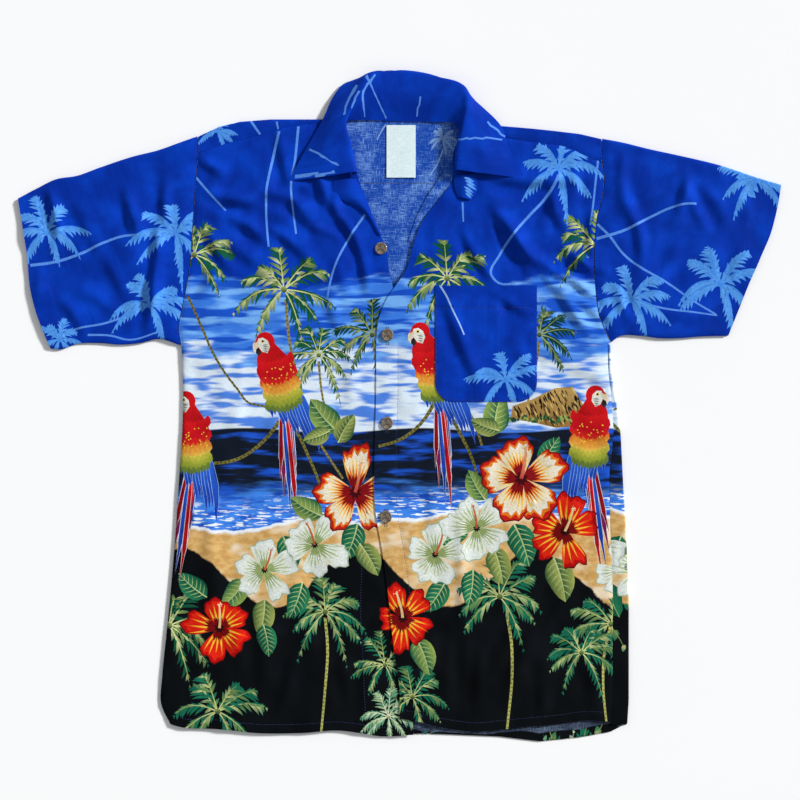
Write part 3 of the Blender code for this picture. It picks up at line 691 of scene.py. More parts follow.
def macaw(art, x, y, size, turn, look, rng, full=True):
    """A perched scarlet macaw. x and y are its head, and size is 1 for a bird 226 mm long."""
    flip = -1.0 if look == "right" else 1.0
    angle = math.radians(turn)

    def put(points):
        local = np.asarray(points, float) * size
        return turned(local * (flip, 1.0), angle, (x, y))

    def area(points, near, far=None):
        placed = put(points)
        art.shape(placed, near, far, (placed[0], placed[len(placed) // 2]))

    def plume(base, tip, width, near, far=None, bend=0.0, fat=0.5):
        ends = put([base, tip])
        art.blade(ends[0], ends[1], width * size, near, far, bend=bend * flip, fat=fat)

    red, deep_red, blue, deep_blue = (216, 20, 26), (150, 8, 20), (34, 92, 214), (16, 44, 140)
    # Tail: ribbons of red and blue with white edges
    for shift, end, tint in ((9, -188, blue), (-8, -196, deep_blue), (5, -206, red), (-4, -214, blue),
                             (1, -226, red), (-6, -170, deep_red)):
        foot, tip = (4 + 0.8 * shift, -84), (-17 + 0.9 * shift, end)
        plume(foot, tip, 6.6, (232, 236, 242), bend=0.015, fat=0.7)
        plume(foot, tip, 5.2, tint, deep_blue if tint == blue else deep_red, bend=0.015, fat=0.7)
    # Flight feathers
    feathers = 13 if full else 7
    for k in range(feathers):
        share = k / (feathers - 1)
        base = (-6 + 30 * share, -62 - 10 * math.sin(3.1 * share))
        tip = (-13 + 46 * share, -94 - 58 * share + 7 * (k % 3))
        if full:
            plume(base, tip, 9.4, (150, 190, 244), bend=-0.05 + 0.1 * share)
        plume(base, tip, 8.2, (46, 108, 226), (20, 54, 168), bend=-0.05 + 0.1 * share)
    # Breast and neck
    area([(-9, -6), (-15, -20), (-18, -40), (-13, -60), (12, -62), (26, -46), (24, -26), (11, -5)],
         red, deep_red)
    # Shoulder: red, then red with yellow tips, then yellow green
    rows = ((-80, (120, 140, 50), (92, 120, 60)), (-73, (178, 182, 62), (140, 156, 50)),
            (-66, (208, 196, 74), (176, 176, 60)), (-59, (220, 60, 30), (236, 204, 84)),
            (-52, (206, 20, 26), (238, 176, 60)), (-44, (200, 14, 26), (216, 40, 30)),
            (-36, (212, 18, 26), (190, 12, 26)), (-28, (220, 24, 28), (200, 14, 26)))
    for row, (level, near, far) in enumerate(rows):
        for k in range(8 if full else 5):
            across = -15 + 42 * (k + 0.5 * (row % 2)) / (7.5 if full else 4.5)
            drop = level - 6 * math.sin(math.pi * (across + 15) / 42)
            broad = 8.4 if full else 12.0
            plume((across, drop + 8), (across + rng.uniform(-1, 1), drop - 7), broad, near, far, fat=0.62)
    for _ in range(26 if full else 0):
        at = put([(rng.uniform(-10, 26), rng.uniform(-62, -34))])[0]
        art.shape(spot(at, 0.9 * size, 5), (250, 214, 70))
    # Head
    area([(12 * math.cos(a) + 0.5, 12.5 * math.sin(a) - 1)
          for a in np.linspace(0, 2 * math.pi, 18, endpoint=False)],
         red, (196, 14, 24))
    area([(-7, 5), (-1, 5), (4, 0), (5, -8), (0, -15), (-6, -12), (-9, -5)], (240, 242, 236), (222, 228, 216))
    for k in range(5):
        plume((-4, -4 - 2.1 * k), (3.5 - 0.5 * k, -5 - 2.1 * k), 1.0, (60, 24, 30))
    area(spot((-2.2, 0.6), 2.4, 9), (236, 214, 120))
    area(spot((-2.2, 0.6), 1.4, 8), (16, 14, 18))
    area([(-7.5, 4), (-12, 3), (-15.5, -1), (-16.5, -7), (-14.5, -12), (-12.5, -7), (-9, -5)],
         (226, 206, 160), (240, 228, 200))
    area([(-12.5, -7), (-14, -11), (-11.5, -16), (-7.5, -13), (-8.5, -6)], (22, 22, 26), (60, 52, 50))
    plume((-7.5, 4), (-13, 1), 2.6, (206, 60, 30))


def roof(art, x, y, size, turn, look, rng, full=True):
    """A thatched roof among the trees: brown ground, slanted dark and pale reeds, leaves along its foot."""
    outline = np.array([(-46, -14), (-44, 2), (-20, 10), (8, 24), (30, 26), (44, 2), (46, -22), (10, -25),
                        (-20, -18)]) + (x, y)
    art.shape(outline, (196, 160, 92), (150, 112, 56), ((x, y + 20), (x, y - 24)))
    for _ in range(260 if full else 40):
        at = np.array([x + rng.uniform(-46, 46), y + rng.uniform(-24, 26)])
        way = np.array([rng.uniform(0.3, 0.6), -1.0]) * rng.uniform(5.0, 10.0)
        if inside(np.array([at, at + way]), outline).all():
            tint = ((26, 22, 20), (40, 30, 22), (216, 186, 112), (110, 80, 42))[rng.integers(0, 4)]
            art.blade(at, at + way, 2.1, tint)
    for k in range(46):
        at = np.array([x - 50 + 2.1 * k, y - 16 - 6 * math.sin(0.5 * k) * 0.4 - 0.06 * k])
        way = np.array([rng.uniform(-6, 6), rng.uniform(3, 8)])
        art.blade(at, at + way, 3.0, ((60, 104, 58), (150, 172, 92), (30, 70, 50))[rng.integers(0, 3)])


MOTIFS = {"palm": palm, "hibiscus": hibiscus, "leaf": leaf, "macaw": macaw, "roof": roof}

# What is printed on each panel: kind, place, size, turn in degrees and look, from the back forwards
RIGHT_PRINT = (
    ("palm", -254, 187, 44, 10, "green"), ("palm", -143, 144, 50, 0, "green"),
    ("palm", -100, 63, 38, 20, "green"), ("palm", -34, 88, 40, 5, "dark"),
    ("palm", -285, -272, 50, 0, "green"), ("palm", -92, -255, 44, 12, "night"),
    ("palm", -225, -378, 47, 8, "night"), ("palm", -18, -321, 34, 4, "night"),
    ("palm", -14, -385, 32, 0, "pale"), ("leaf", -137, -182, 17, 290, "deep"),
    ("leaf", -205, -232, 17, 230, "green"), ("leaf", -170, -262, 17, 262, "olive"),
    ("leaf", -128, -240, 17, 250, "deep"), ("leaf", -165, -290, 15, 280, "deep"),
    ("leaf", -256, -222, 17, 140, "deep"), ("macaw", -265, 7, 1.0, 2, "left"),
    ("macaw", -167, 80, 1.0, 14, "left"), ("leaf", -93, -12, 20, 130, "green"),
    ("leaf", -103, -37, 13, 200, "olive"), ("leaf", -66, -28, 15, 60, "olive"),
    ("leaf", -115, -125, 17, 150, "green"), ("leaf", -60, -168, 18, 250, "deep"),
    ("leaf", -38, -190, 17, 300, "olive"), ("hibiscus", -223, -275, 37, 30, "red"),
    ("hibiscus", -167, -203, 33, 12, "white"), ("hibiscus", -105, -172, 35, 50, "white"),
    ("hibiscus", -55, -107, 46, 20, "sunset"), ("hibiscus", 14, -262, 36, 40, "red"),
)
LEFT_PRINT = (
    ("palm", 59, 158, 48, 8, "green"), ("palm", 242, 199, 44, 0, "green"),
    ("palm", 173, 88, 40, 15, "dark"), ("palm", 197, 294, 45, 0, "ghost"),
    ("palm", 16, -360, 38, 10, "night"), ("palm", 262, -270, 45, 0, "night"),
    ("palm", 225, -305, 40, 20, "night"), ("palm", 124, -236, 48, 5, "night"),
    ("roof", 184, -2, 1, 0, "brown"), ("leaf", 44, -236, 17, 235, "deep"),
    ("leaf", 88, -225, 17, 262, "deep"), ("leaf", 122, -198, 18, 285, "olive"),
    ("leaf", 198, -215, 21, 285, "olive"), ("leaf", 29, -310, 18, 290, "green"),
    ("leaf", 68, -163, 14, 20, "deep"), ("leaf", 151, -172, 21, 290, "deep"),
    ("leaf", 96, -98, 16, 120, "green"), ("macaw", 25, 92, 1.0, 14, "left"),
    ("macaw", 243, 14, 1.0, -2, "right"), ("leaf", 122, -9, 20, 80, "green"),
    ("leaf", 106, -24, 14, 160, "olive"), ("leaf", 187, -57, 16, 60, "deep"),
    ("hibiscus", 276, -204, 30, 40, "white"), ("hibiscus", 204.6, -155, 38, 10, "red"),
    ("hibiscus", 4, -262, 38, 44, "red"), ("hibiscus", 44, -184, 35, 10, "white"),
    ("hibiscus", 95.5, -151.5, 35, 40, "white"), ("hibiscus", 150.6, -90, 50, 22, "sunset"),
)
# Stems and branches: look, width and route
RIGHT_STEMS = (
    ("line", 3.4, ((-149, 340), (-157, 305), (-164, 270), (-165, 240), (-162, 197))),
    ("line", 3.2, ((-125, 346), (-130, 300), (-134, 276), (-132, 244), (-128, 213))),
    ("line", 3.0, ((-252, 283), (-234, 262), (-215, 242))),
    ("line", 3.0, ((-42, 238), (-61, 210), (-80, 173), (-88, 142), (-91, 115))),
    ("bark", 3.6, ((-141, 132), (-136, 79), (-125, 30), (-118, 0), (-109, -27), (-86, -66), (-70, -90))),
    ("bark", 3.0, ((-100, 55), (-98, 30), (-94, 5), (-90, -10))),
    ("branch", 3.2,
     ((-262, 136), (-245, 98), (-232, 68), (-216, 41), (-200, 20), (-187, 4), (-170, 0), (-157, -5))),
    ("branch", 4.6, ((-146, -15), (-164, -39), (-204, -67), (-240, -70), (-268, -60))),
    ("branch", 4.2, ((-146, -10), (-127, -33), (-112, -64), (-103, -85), (-98, -99))),
    ("night", 3.6, ((-92, -262), (-89, -300), (-92, -350), (-97, -405))),
)
LEFT_STEMS = (
    ("line", 3.6,
     ((197, 286), (191, 273), (178, 254), (161, 236), (138, 209), (124, 187), (113, 163), (123, 152),
                   (143, 151))),
    ("line", 2.8, ((246, 305), (243, 280), (241, 260), (236, 224))),
    ("line", 2.4, ((78, 252), (79, 228))),
    ("bark", 3.2, ((173, 80), (168, 46), (160, 16), (160, -20))),
    ("branch", 4.6, ((43, 4), (34, -12), (20, -28), (0, -42), (-26, -50))),
    ("branch", 4.2, ((66, -17), (76, -36), (89, -63), (96, -84))),
    ("branch", 3.8, ((81, 2), (94, -24), (102, -49))),
    ("branch", 4.2, ((190, -92), (206, -88), (222, -86), (244, -80))),
    ("night", 3.8, ((133, -257), (139, -299), (139, -337), (133, -402))),
    ("night", 3.4, ((261, -272), (253, -310), (252, -345), (257, -400))),
)
POCKET_PRINT = (("palm", 131, 32, 40, 8, "ghost"),)
POCKET_STEMS = (("pale_line", 2.4, ((49, 151), (58, 136), (66, 118), (74, 102), (80, 88))),)
RIGHT_SLEEVE_PRINT = (
    ("palm", -436, 214, 42, 10, "ghost"), ("palm", -277, 214, 46, 0, "ghost"),
    ("palm", -308, 124, 43, 4, "ghost"), ("palm", -421, 82, 30, 30, "ghost"),
)
RIGHT_SLEEVE_STEMS = (
    ("line", 3.6,
     ((-457, 174), (-428, 178), (-396, 188), (-366, 202), (-342, 210), (-311, 211), (-280, 211))),
    ("line", 3.0, ((-324, 116), (-347, 108), (-366, 102), (-394, 97), (-417, 90))),
    ("line", 2.6, ((-386, 88), (-357, 87), (-337, 82), (-294, 93))),
)
LEFT_SLEEVE_PRINT = (
    ("palm", 440, 280, 42, 30, "ghost"), ("palm", 397, 151, 50, 6, "ghost"),
    ("palm", 287, 131, 45, 10, "ghost"),
)
LEFT_SLEEVE_STEMS = (
    ("line", 3.6, ((244, 207), (277, 217), (311, 234), (335, 245), (355, 250), (367, 250))),
    ("line", 3.0,
     ((245, 225), (261, 209), (276, 189), (294, 174), (316, 161), (335, 150), (362, 131), (392, 113))),
    ("line", 2.6, ((304, 126), (332, 120), (365, 116), (393, 112))),
)
COLLAR_STEMS = (
    ("line", 5.0, ((-56, 403), (-66, 390), (-73, 375), (-77, 360))),
    ("line", 4.0, ((-53, 396), (-60, 384), (-66, 370), (-68, 358))),
    ("line", 3.0, ((-50, 388), (-55, 378), (-59, 366))),
    ("line", 2.8, ((-41, 408), (-30, 384), (-17, 356))),
    ("line", 2.8, ((-30, 408), (-44, 388), (-43, 358))), ("line", 2.4, ((26, 382), (21, 358))),
    ("line", 3.0, ((72, 328), (100, 330), (127, 329))), ("line", 5.0, ((96, 354), (103, 357), (110, 351))),
    ("line", 2.6, ((109, 350), (130, 333))), ("line", 4.0, ((-130, 284), (-116, 285), (-100, 288))),
    ("line", 3.0, ((-104, 284), (-90, 286), (-80, 289))),
    ("line", 3.0, ((-112, 318), (-92, 306), (-75, 296))),
)
YOKE_PRINT = (("palm", -226, 340, 26, 0, "ghost"),)
YOKE_STEMS = (
    ("line", 3.2, ((-184, 353), (-178, 344), (-171, 334))),
    ("line", 2.8, ((-152, 352), (-150, 342))),
)
# What shows through on the yoke's wrong side
YOKE_INSIDE_PRINT = (
    ("palm", 53, 331, 15, 0, "wrong"), ("palm", -206, 300, 40, 0, "wrong"),
    ("palm", 178, 306, 40, 0, "wrong"),
)
YOKE_INSIDE_STEMS = (
    ("pale_line", 1.8, ((-17, 349), (-22, 341), (-28, 330))),
    ("pale_line", 1.6, ((54, 318), (47, 300), (38, 286))),
)
# How far the right front's print is moved for each stretch of the back
BACK_SHIFTS = (0.0, REPEAT, 2 * REPEAT)
SHIFTED_FROM = -67.0  # a shifted copy starts where the one before it ends


def drawn(prints, stems, seed, shift=0.0, full=True):
    """The artwork of a panel from its tables, in fewer strokes if not full."""
    art = Artwork()
    for look, width, points in stems:
        trunk(art, np.array(points, float) + (shift, 0.0), width, look)
    for number, (kind, x, y, size, turn, look) in enumerate(prints):
        MOTIFS[kind](art, x + shift, y, size, turn, look, np.random.default_rng(seed + number), full)
    return art


def combined(arts):
    whole = Artwork()
    for art in arts:
        for key in vars(whole):
            getattr(whole, key).extend(getattr(art, key))
    return whole


def remapped(art, place, longest=1000.0):
    """The same artwork with each point moved by place, such as into a sleeve's own flat axes. A shape that
    comes apart on the way, with a side over the longest, is left out."""
    moved = Artwork()
    for outline, near, far, start, end in zip(art.outlines, art.near, art.far, art.start, art.end):
        points = place(outline)
        sides = np.linalg.norm(points - np.roll(points, 1, axis=0), axis=1)
        if sides.max() > longest or not is_simple(points):
            continue
        ends = place(np.array([start, end]))
        moved.outlines.append(anticlockwise(points))
        moved.near.append(near)
        moved.far.append(far)
        moved.start.append(ends[0])
        moved.end.append(ends[1])
    return moved


# ---------------------------------------------------------------- cloth panels

def inside(points, outline):
    """Which points lie in a closed outline."""
    x, y = points[:, 0][:, None], points[:, 1][:, None]
    a, b = outline[None], np.roll(outline, -1, axis=0)[None]
    crosses = (a[..., 1] > y) != (b[..., 1] > y)
    rise = np.where(b[..., 1] == a[..., 1], 1.0, b[..., 1] - a[..., 1])
    at = a[..., 0] + (y - a[..., 1]) * (b[..., 0] - a[..., 0]) / rise
    return (np.sum(crosses & (x < at), axis=1) % 2).astype(bool)


def tree_of(points):
    """Search tree of points by their place in the plan, whatever their height."""
    tree = kdtree.KDTree(len(points))
    for i, point in enumerate(points):
        tree.insert((point[0], point[1], 0.0), i)
    tree.balance()
    return tree


def lattice(outline, step, rows):
    """Points inside an outline on a triangular lattice, and those of the given extra rows, which keep the
    lattice clear of them."""
    low, high = outline.min(axis=0), outline.max(axis=0)
    tree_points = [outline]
    kept = []
    for row in rows:
        row = row[inside(row, outline)]
        if len(row):
            kept.append(row)
            tree_points.append(row)
    tree = tree_of(np.concatenate(tree_points))
    across = np.arange(low[0], high[0], step)
    up = np.arange(low[1], high[1], step * math.sqrt(3) / 2)
    grid = np.array([(x + (0.5 * step if j % 2 else 0.0), y) for j, y in enumerate(up) for x in across])
    grid = grid[inside(grid, outline)]
    clear = [tree.find((x, y, 0.0))[2] > 0.5 * step for x, y in grid]
    kept.append(grid[np.array(clear, bool)])
    return np.concatenate(kept)


def triangulated(outline, loose, art, holes=()):
    """The outline's inside as triangles, with the artwork cut in. Returns the flat points, the triangles
    and the number of the topmost shape on each, or 0."""
    low, high = outline.min(axis=0), outline.max(axis=0)
    shapes, numbers = [], []
    for number, shape in enumerate(art.outlines, start=1):
        if (shape.max(axis=0) > low).all() and (shape.min(axis=0) < high).all():
            shapes.append(shape)
            numbers.append(number)
    polygons, start = [list(range(len(outline)))], len(outline) + len(loose)
    for shape in [*shapes, *holes]:
        polygons.append(list(range(start, start + len(shape))))
        start += len(shape)
    points = np.concatenate([outline, loose, *shapes, *holes])
    found = geometry.delaunay_2d_cdt([Vector(p) for p in points], [], polygons, 1, 1e-5, True)
    flat = np.array([tuple(v) for v in found[0]])
    first_hole = len(shapes) + 1
    faces, tops = [], []
    for face, covers in zip(found[2], found[5]):
        top = max(covers) if covers else -1
        if 0 in covers and top < first_hole:
            faces.append(face)
            tops.append(numbers[top - 1] if top > 0 else 0)
    used, faces = np.unique(np.array(faces), return_inverse=True)
    return flat[used], faces.reshape(-1, 3), np.array(tops)


def rim_of(faces):
    """Directed edges that only one triangle has."""
    edges = np.concatenate([faces[:, [0, 1]], faces[:, [1, 2]], faces[:, [2, 0]]])
    known = {(a, b) for a, b in edges.tolist()}
    return [(a, b) for a, b in edges.tolist() if (b, a) not in known]


def in_order(rim):
    """The longest closed run of a rim's edges, as point numbers."""
    following = dict(rim)
    best, seen = [], set()
    for start in following:
        if start in seen:
            continue
        run, at = [], start
        while at not in seen and at in following:
            seen.add(at)
            run.append(at)
            at = following[at]
        if len(run) > len(best):
            best = run
    return best


def corner_tints(art, flat, faces, tops):
    """Colour of each triangle corner: the shape's two tints mixed along its axis, alpha 0 if unpainted."""
    colours = np.zeros((len(faces), 3, 4))
    painted = tops > 0
    if painted.any():
        which = tops[painted] - 1
        near, far = np.array(art.near)[which], np.array(art.far)[which]
        start, end = np.array(art.start)[which], np.array(art.end)[which]
        run = end - start
        corners = flat[faces[painted]] - start[:, None]
        length = np.sum(run**2, axis=1)[:, None] + 1e-9  # squared
        share = np.clip(np.sum(corners * run[:, None], axis=2) / length, 0, 1)
        colours[painted, :, :3] = near[:, None] + share[..., None] * (far - near)[:, None]
        colours[painted, :, 3] = 1.0
    return colours


def normals_at(surface, flat, step=0.05):
    du, dv = np.array([step, 0.0]), np.array([0.0, step])
    along = surface(flat + du) - surface(flat - du)
    up = surface(flat + dv) - surface(flat - dv)
    normal = np.cross(along, up)
    return normal / (np.linalg.norm(normal, axis=1)[:, None] + 1e-12)


def mesh_object(name, places, faces):
    """A mesh object in the scene, from places in millimetres."""
    mesh = bpy.data.meshes.new(name)
    mesh.from_pydata((np.asarray(places) * MM).tolist(), [], faces)
    obj = bpy.data.objects.new(name, mesh)
    bpy.context.scene.collection.objects.link(obj)
    return obj


def other_side(flat, rim, step, rows, art):
    """The cloth's other side, coarser and within the same rim: its flat points, its triangles, their tints
    and the number of its point at each point of the rim."""
    order = in_order(rim)
    edge = flat[order]
    loose = lattice(edge, max(step, WRONG_LATTICE), rows)
    back_flat, back_faces, tops = triangulated(edge, loose, art)
    tree = tree_of(back_flat)
    partner = {a: tree.find((*flat[a], 0.0))[1] for a in order}
    return back_flat, back_faces, corner_tints(art, back_flat, back_faces, tops), partner


def paint(mesh, front_tints, back_tints, wall_count):
    """The print's tints on the corners of both sides, none on the rim, and a material slot for each side."""
    first, second = len(front_tints), len(front_tints) + len(back_tints)
    slots = np.zeros(second + wall_count, int)
    slots[first:second] = 1
    mesh.polygons.foreach_set("material_index", slots)
    tints = np.zeros((3 * second + 4 * wall_count, 4))
    tints[: 3 * first] = front_tints.reshape(-1, 4)
    tints[3 * first: 3 * second] = back_tints.reshape(-1, 4)
    layer = mesh.attributes.new("print", "FLOAT_COLOR", "CORNER")
    layer.data.foreach_set("color", tints.ravel())


def panel(name, outline, surface, art=None, rows=(), step=LATTICE, ply=PLY, print_up=1.0, wrong_art=None,
          under=None, holes=()):
    """A closed cloth mesh. surface turns flat points into places of the print side in millimetres, and
    print_up is 1 where that side faces as the flat axes do and -1 where it faces the other way. A piece with
    an under surface or holes has the same triangles on both sides."""
    art = art or Artwork()
    flat, faces, tops = triangulated(outline, lattice(outline, step, rows), art, holes)
    front_tints = corner_tints(art, flat, faces, tops)
    rim = rim_of(faces)
    if under or holes:
        back_flat, back_faces, back_tints = flat, faces, np.zeros((len(faces), 3, 4))
        partner = {a: a for a, _ in rim}
    else:
        back_flat, back_faces, back_tints, partner = other_side(flat, rim, step, rows, wrong_art or Artwork())
    outer = surface(flat)
    if under:
        inner = under(back_flat)
    else:
        inner = surface(back_flat) - print_up * ply * normals_at(surface, back_flat)
    count = len(flat)
    back_faces = back_faces + count
    rim = [(a, b) for a, b in rim if a in partner and b in partner]
    if print_up > 0:
        back_faces, back_tints = back_faces[:, ::-1], back_tints[:, ::-1]
        walls = [(partner[a] + count, partner[b] + count, b, a) for a, b in rim]
    else:
        faces, front_tints = faces[:, ::-1], front_tints[:, ::-1]
        walls = [(a, b, partner[b] + count, partner[a] + count) for a, b in rim]
    obj = mesh_object(name, np.concatenate([outer, inner]), [*faces.tolist(), *back_faces.tolist(), *walls])
    mesh = obj.data
    paint(mesh, front_tints, back_tints, len(walls))
    both = np.concatenate([flat, back_flat])
    cloth = mesh.attributes.new("cloth", "FLOAT_VECTOR", "POINT")
    cloth.data.foreach_set("vector", np.concatenate([both, np.zeros((len(both), 1))], axis=1).ravel())
    lay_out(mesh, flat, back_flat, len(faces) + len(back_faces))
    mesh.shade_smooth()
    sharpen(mesh, walls)
    mesh.validate()
    return obj


def lay_out(mesh, flat, back_flat, triangles):
    """The flat cloth as the map's two charts, print side and wrong side, at one scale. The rim's walls come
    after the triangles, and each takes the print side's edge."""
    low, high = flat.min(axis=0), flat.max(axis=0)
    wide, tall = high - low
    margin = 0.02 * max(wide, tall)
    beside = 2 * wide + margin <= 2 * tall + margin
    shift = np.array([wide + margin, 0.0]) if beside else np.array([0.0, tall + margin])
    size = max(*(shift + (wide, tall))) + 2 * margin
    charts = np.concatenate([(flat - low + margin) / size, (back_flat - low + margin + shift) / size])
    corners = np.zeros(len(mesh.loops), int)
    mesh.loops.foreach_get("vertex_index", corners)
    spots = charts[corners]
    walls = spots[3 * triangles:].reshape(-1, 4, 2)
    count = len(flat)
    wall_corners = corners[3 * triangles:].reshape(-1, 4)
    for wall, ids in zip(walls, wall_corners):
        front = ids < count
        wall[~front] = wall[front][::-1]
    spots[3 * triangles:] = walls.reshape(-1, 2)
    layer = mesh.uv_layers.new(name="OFBake")
    layer.data.foreach_set("uv", spots.ravel())


def sharpen(mesh, walls):
    """Marks the edges between the cloth's two sides and its rim as sharp."""
    sharp = set()
    for wall in walls:
        for a, b in zip(wall, wall[1:] + wall[:1]):
            sharp.add((min(a, b), max(a, b)))
    ends = np.zeros(2 * len(mesh.edges), int)
    mesh.edges.foreach_get("vertices", ends)
    flags = [(min(a, b), max(a, b)) in sharp for a, b in ends.reshape(-1, 2).tolist()]
    mark = mesh.attributes.new("sharp_edge", "BOOLEAN", "EDGE")
    mark.data.foreach_set("value", flags)


# ---------------------------------------------------------------- where each panel lies

def relief(x, y):
    """How far the cloth stands above its level at a place: folds, creases and long waves."""
    total = np.zeros(np.broadcast(x, y).shape)
    for table, crease in ((FOLDS, False), (CREASES, True)):
        for row in table:
            fold = dict(zip(FOLD_COLUMNS, row))
            turn = math.radians(fold["turn"])
            along = (x - fold["x"]) * math.cos(turn) + (y - fold["y"]) * math.sin(turn)
            across = (y - fold["y"]) * math.cos(turn) - (x - fold["x"]) * math.sin(turn)
            across = across + 2.5 * np.sin(along / (0.2 * fold["length"]) + fold["x"])
            taper = np.clip(1.0 - (2.0 * along / fold["length"]) ** 2, 0.0, 1.0) ** 1.5
            shape = np.exp(-((across / fold["width"]) ** 2))
            if crease:
                trough = across / fold["width"] - TROUGH_OFFSET * math.copysign(1.0, fold["height"])
                shape = CREASE_GAIN * abs(fold["height"]) * (shape - TROUGH_SHARE * np.exp(-(trough**2)))
                total = total + taper * shape
            else:
                total = total + fold["height"] * taper * shape
    for turn, length, height in RUMPLES:
        a = math.radians(turn)
        along = x * math.cos(a) + y * math.sin(a)
        across = y * math.cos(a) - x * math.sin(a)
        strength = 0.5 + 0.5 * np.sin(across / (1.3 * length) + along / (2.1 * length) + turn)
        ripple = np.sin(2 * math.pi * (along + 7.0 * np.sin(across / 29.0)) / length)
        total = total + height * strength * ripple
    for turn, length, height in WAVES:
        a = math.radians(turn)
        total = total + height * np.sin(2 * math.pi * (x * math.cos(a) + y * math.sin(a)) / length + turn)
    return total


def no_lower_than(floor, level, blend=0.8):
    """The level, eased off where it would go below a floor."""
    above = level - floor
    return floor + 0.5 * (above + np.sqrt(above**2 + blend**2))


def puckered(distance, along, half=5.0):
    """Puckers beside a line of stitches, from the distance to it and the place along it."""
    ripple = np.sin(2 * math.pi * along / PUCKER_LENGTH + 1.7 * np.sin(along / 23.0))
    return PUCKER * ripple * np.exp(-((distance / half) ** 2)) - 0.25 * np.exp(-((distance / 1.2) ** 2))


def lap_height(inset, y):
    near_edge = smooth_step((LAP_REACH + LAP_RAMP - inset) / LAP_RAMP)
    return LAP_RISE * near_edge * smooth_step((LAP_TOP + LAP_FADE - y) / LAP_FADE)


def seam_dip(distance):
    return SEAM_DIP * np.exp(-((distance / SEAM_HALF) ** 2))


def left_seam_line():
    side = curve(LEFT_SIDE)
    side[:, 0] -= np.interp(side[:, 1], *np.array(WRAP).T)
    return side


def stacked(x, y, z):
    return np.stack([x, y, np.broadcast_to(z, x.shape)], axis=-1)


def front_surface(side, armhole, shoulder, edge, hem, right):
    """Upper face of a front. Its side, armhole and shoulder are seams; its edge and hem are turned in."""
    side_x, armhole_x = x_on(side), x_on(armhole)
    edge_x, shoulder_y, hem_y = x_on(edge), y_on(shoulder), y_on(hem)
    sign = 1.0 if right else -1.0

    def surface(flat):
        x, y = flat[:, 0], flat[:, 1]
        below = y < armhole[0][1]
        inset = np.where(below, sign * (x - side_x(y)), sign * (x - armhole_x(y)))
        calm = SIDE_CALM_SHARE + (1.0 - SIDE_CALM_SHARE) * smooth_step(inset / SIDE_CALM)
        level = FRONT_LEVEL + relief(x, y) * calm
        from_edge = np.abs(edge_x(y) - x)
        from_hem = y - hem_y(x)
        if not right:
            level = level + lap_height(x - edge_x(y), y)
        level = level + HEM_RISE * smooth_step((HEM_DEPTH - from_hem) / HEM_STEP)
        level = level + puckered(from_hem - HEM_DEPTH, x)
        stitched = (y < ARMPIT_Y + 60) if not right else np.ones_like(y, bool)
        level = level + np.where(stitched, puckered(from_edge - PLACKET, y), 0.0)
        ripple = np.sin(x / 21.0) + 0.6 * np.sin(x / 9.0 + 1)
        level = level + EDGE_RIPPLE * ripple * np.exp(-from_hem / EDGE_RIPPLE_REACH)
        level = level - seam_dip(shoulder_y(x) - y)
        if right:
            drop = np.where(below, 1.0 - arc(inset / SIDE_ROUND), 0.0)
            level = level - (level - SIDE_EDGE) * drop
            level = level - np.where(below, 0.0, seam_dip(inset))
        else:
            level = level - seam_dip(inset)
        return stacked(x, y, no_lower_than(SIDE_EDGE, level))

    return surface


RIGHT_EDGE = (*BUTTON_EDGE_LOW, *BUTTON_EDGE_HIGH[1:])
LEFT_EDGE = (*HOLE_EDGE_LOW, *HOLE_EDGE_HIGH[1:])
right_front_surface = front_surface(RIGHT_SIDE, RIGHT_ARMHOLE, RIGHT_SHOULDER, RIGHT_EDGE, BUTTON_HEM, True)
left_front_surface = front_surface(left_seam_line(), LEFT_ARMHOLE, LEFT_SHOULDER, LEFT_EDGE, HOLE_HEM, False)


def offset_rows(line, offsets, axis):
    """Copies of a line moved along an axis, as rows of extra points."""
    line = np.asarray(line, float)
    return [line + np.array([d, 0.0] if axis == "x" else [0.0, d]) for d in offsets]


def front_right():
    outline = loop(curve(BUTTON_HEM), curve(BUTTON_EDGE_LOW), curve(BUTTON_EDGE_HIGH),
                   curve(RIGHT_SHOULDER)[::-1], curve(RIGHT_ARMHOLE)[::-1], curve(RIGHT_SIDE)[::-1])
    rows = offset_rows(curve(RIGHT_SIDE), SIDE_ROWS, "x")
    rows += offset_rows(curve(RIGHT_ARMHOLE), SEAM_ROWS, "x")
    rows += offset_rows(curve(RIGHT_SHOULDER), SEAM_ROWS_BELOW, "y")
    rows += offset_rows(curve(BUTTON_HEM), HEM_ROWS, "y")
    art = drawn(RIGHT_PRINT, RIGHT_STEMS, 100)
    return panel("printed_front_right", outline, right_front_surface, art, rows)


def front_left():
    seam = left_seam_line()
    seam[:, 0] -= SEAM_GAP
    outline = loop(curve(HOLE_HEM)[::-1], seam[1:], curve(LEFT_ARMHOLE), curve(LEFT_SHOULDER),
                   curve(HOLE_EDGE_HIGH)[::-1], curve(HOLE_EDGE_LOW)[::-1])
    rows = offset_rows(seam, SEAM_ROWS_BELOW, "x") + offset_rows(curve(LEFT_ARMHOLE), SEAM_ROWS_BELOW, "x")
    rows += offset_rows(curve(LEFT_SHOULDER), SEAM_ROWS_BELOW, "y")
    rows += offset_rows(curve(HOLE_HEM), HEM_ROWS, "y")
    rows += offset_rows(curve(HOLE_EDGE_LOW), PLACKET_ROWS, "x")
    art = drawn(LEFT_PRINT, LEFT_STEMS, 200)
    return panel("printed_front_left", outline, left_front_surface, art, rows)


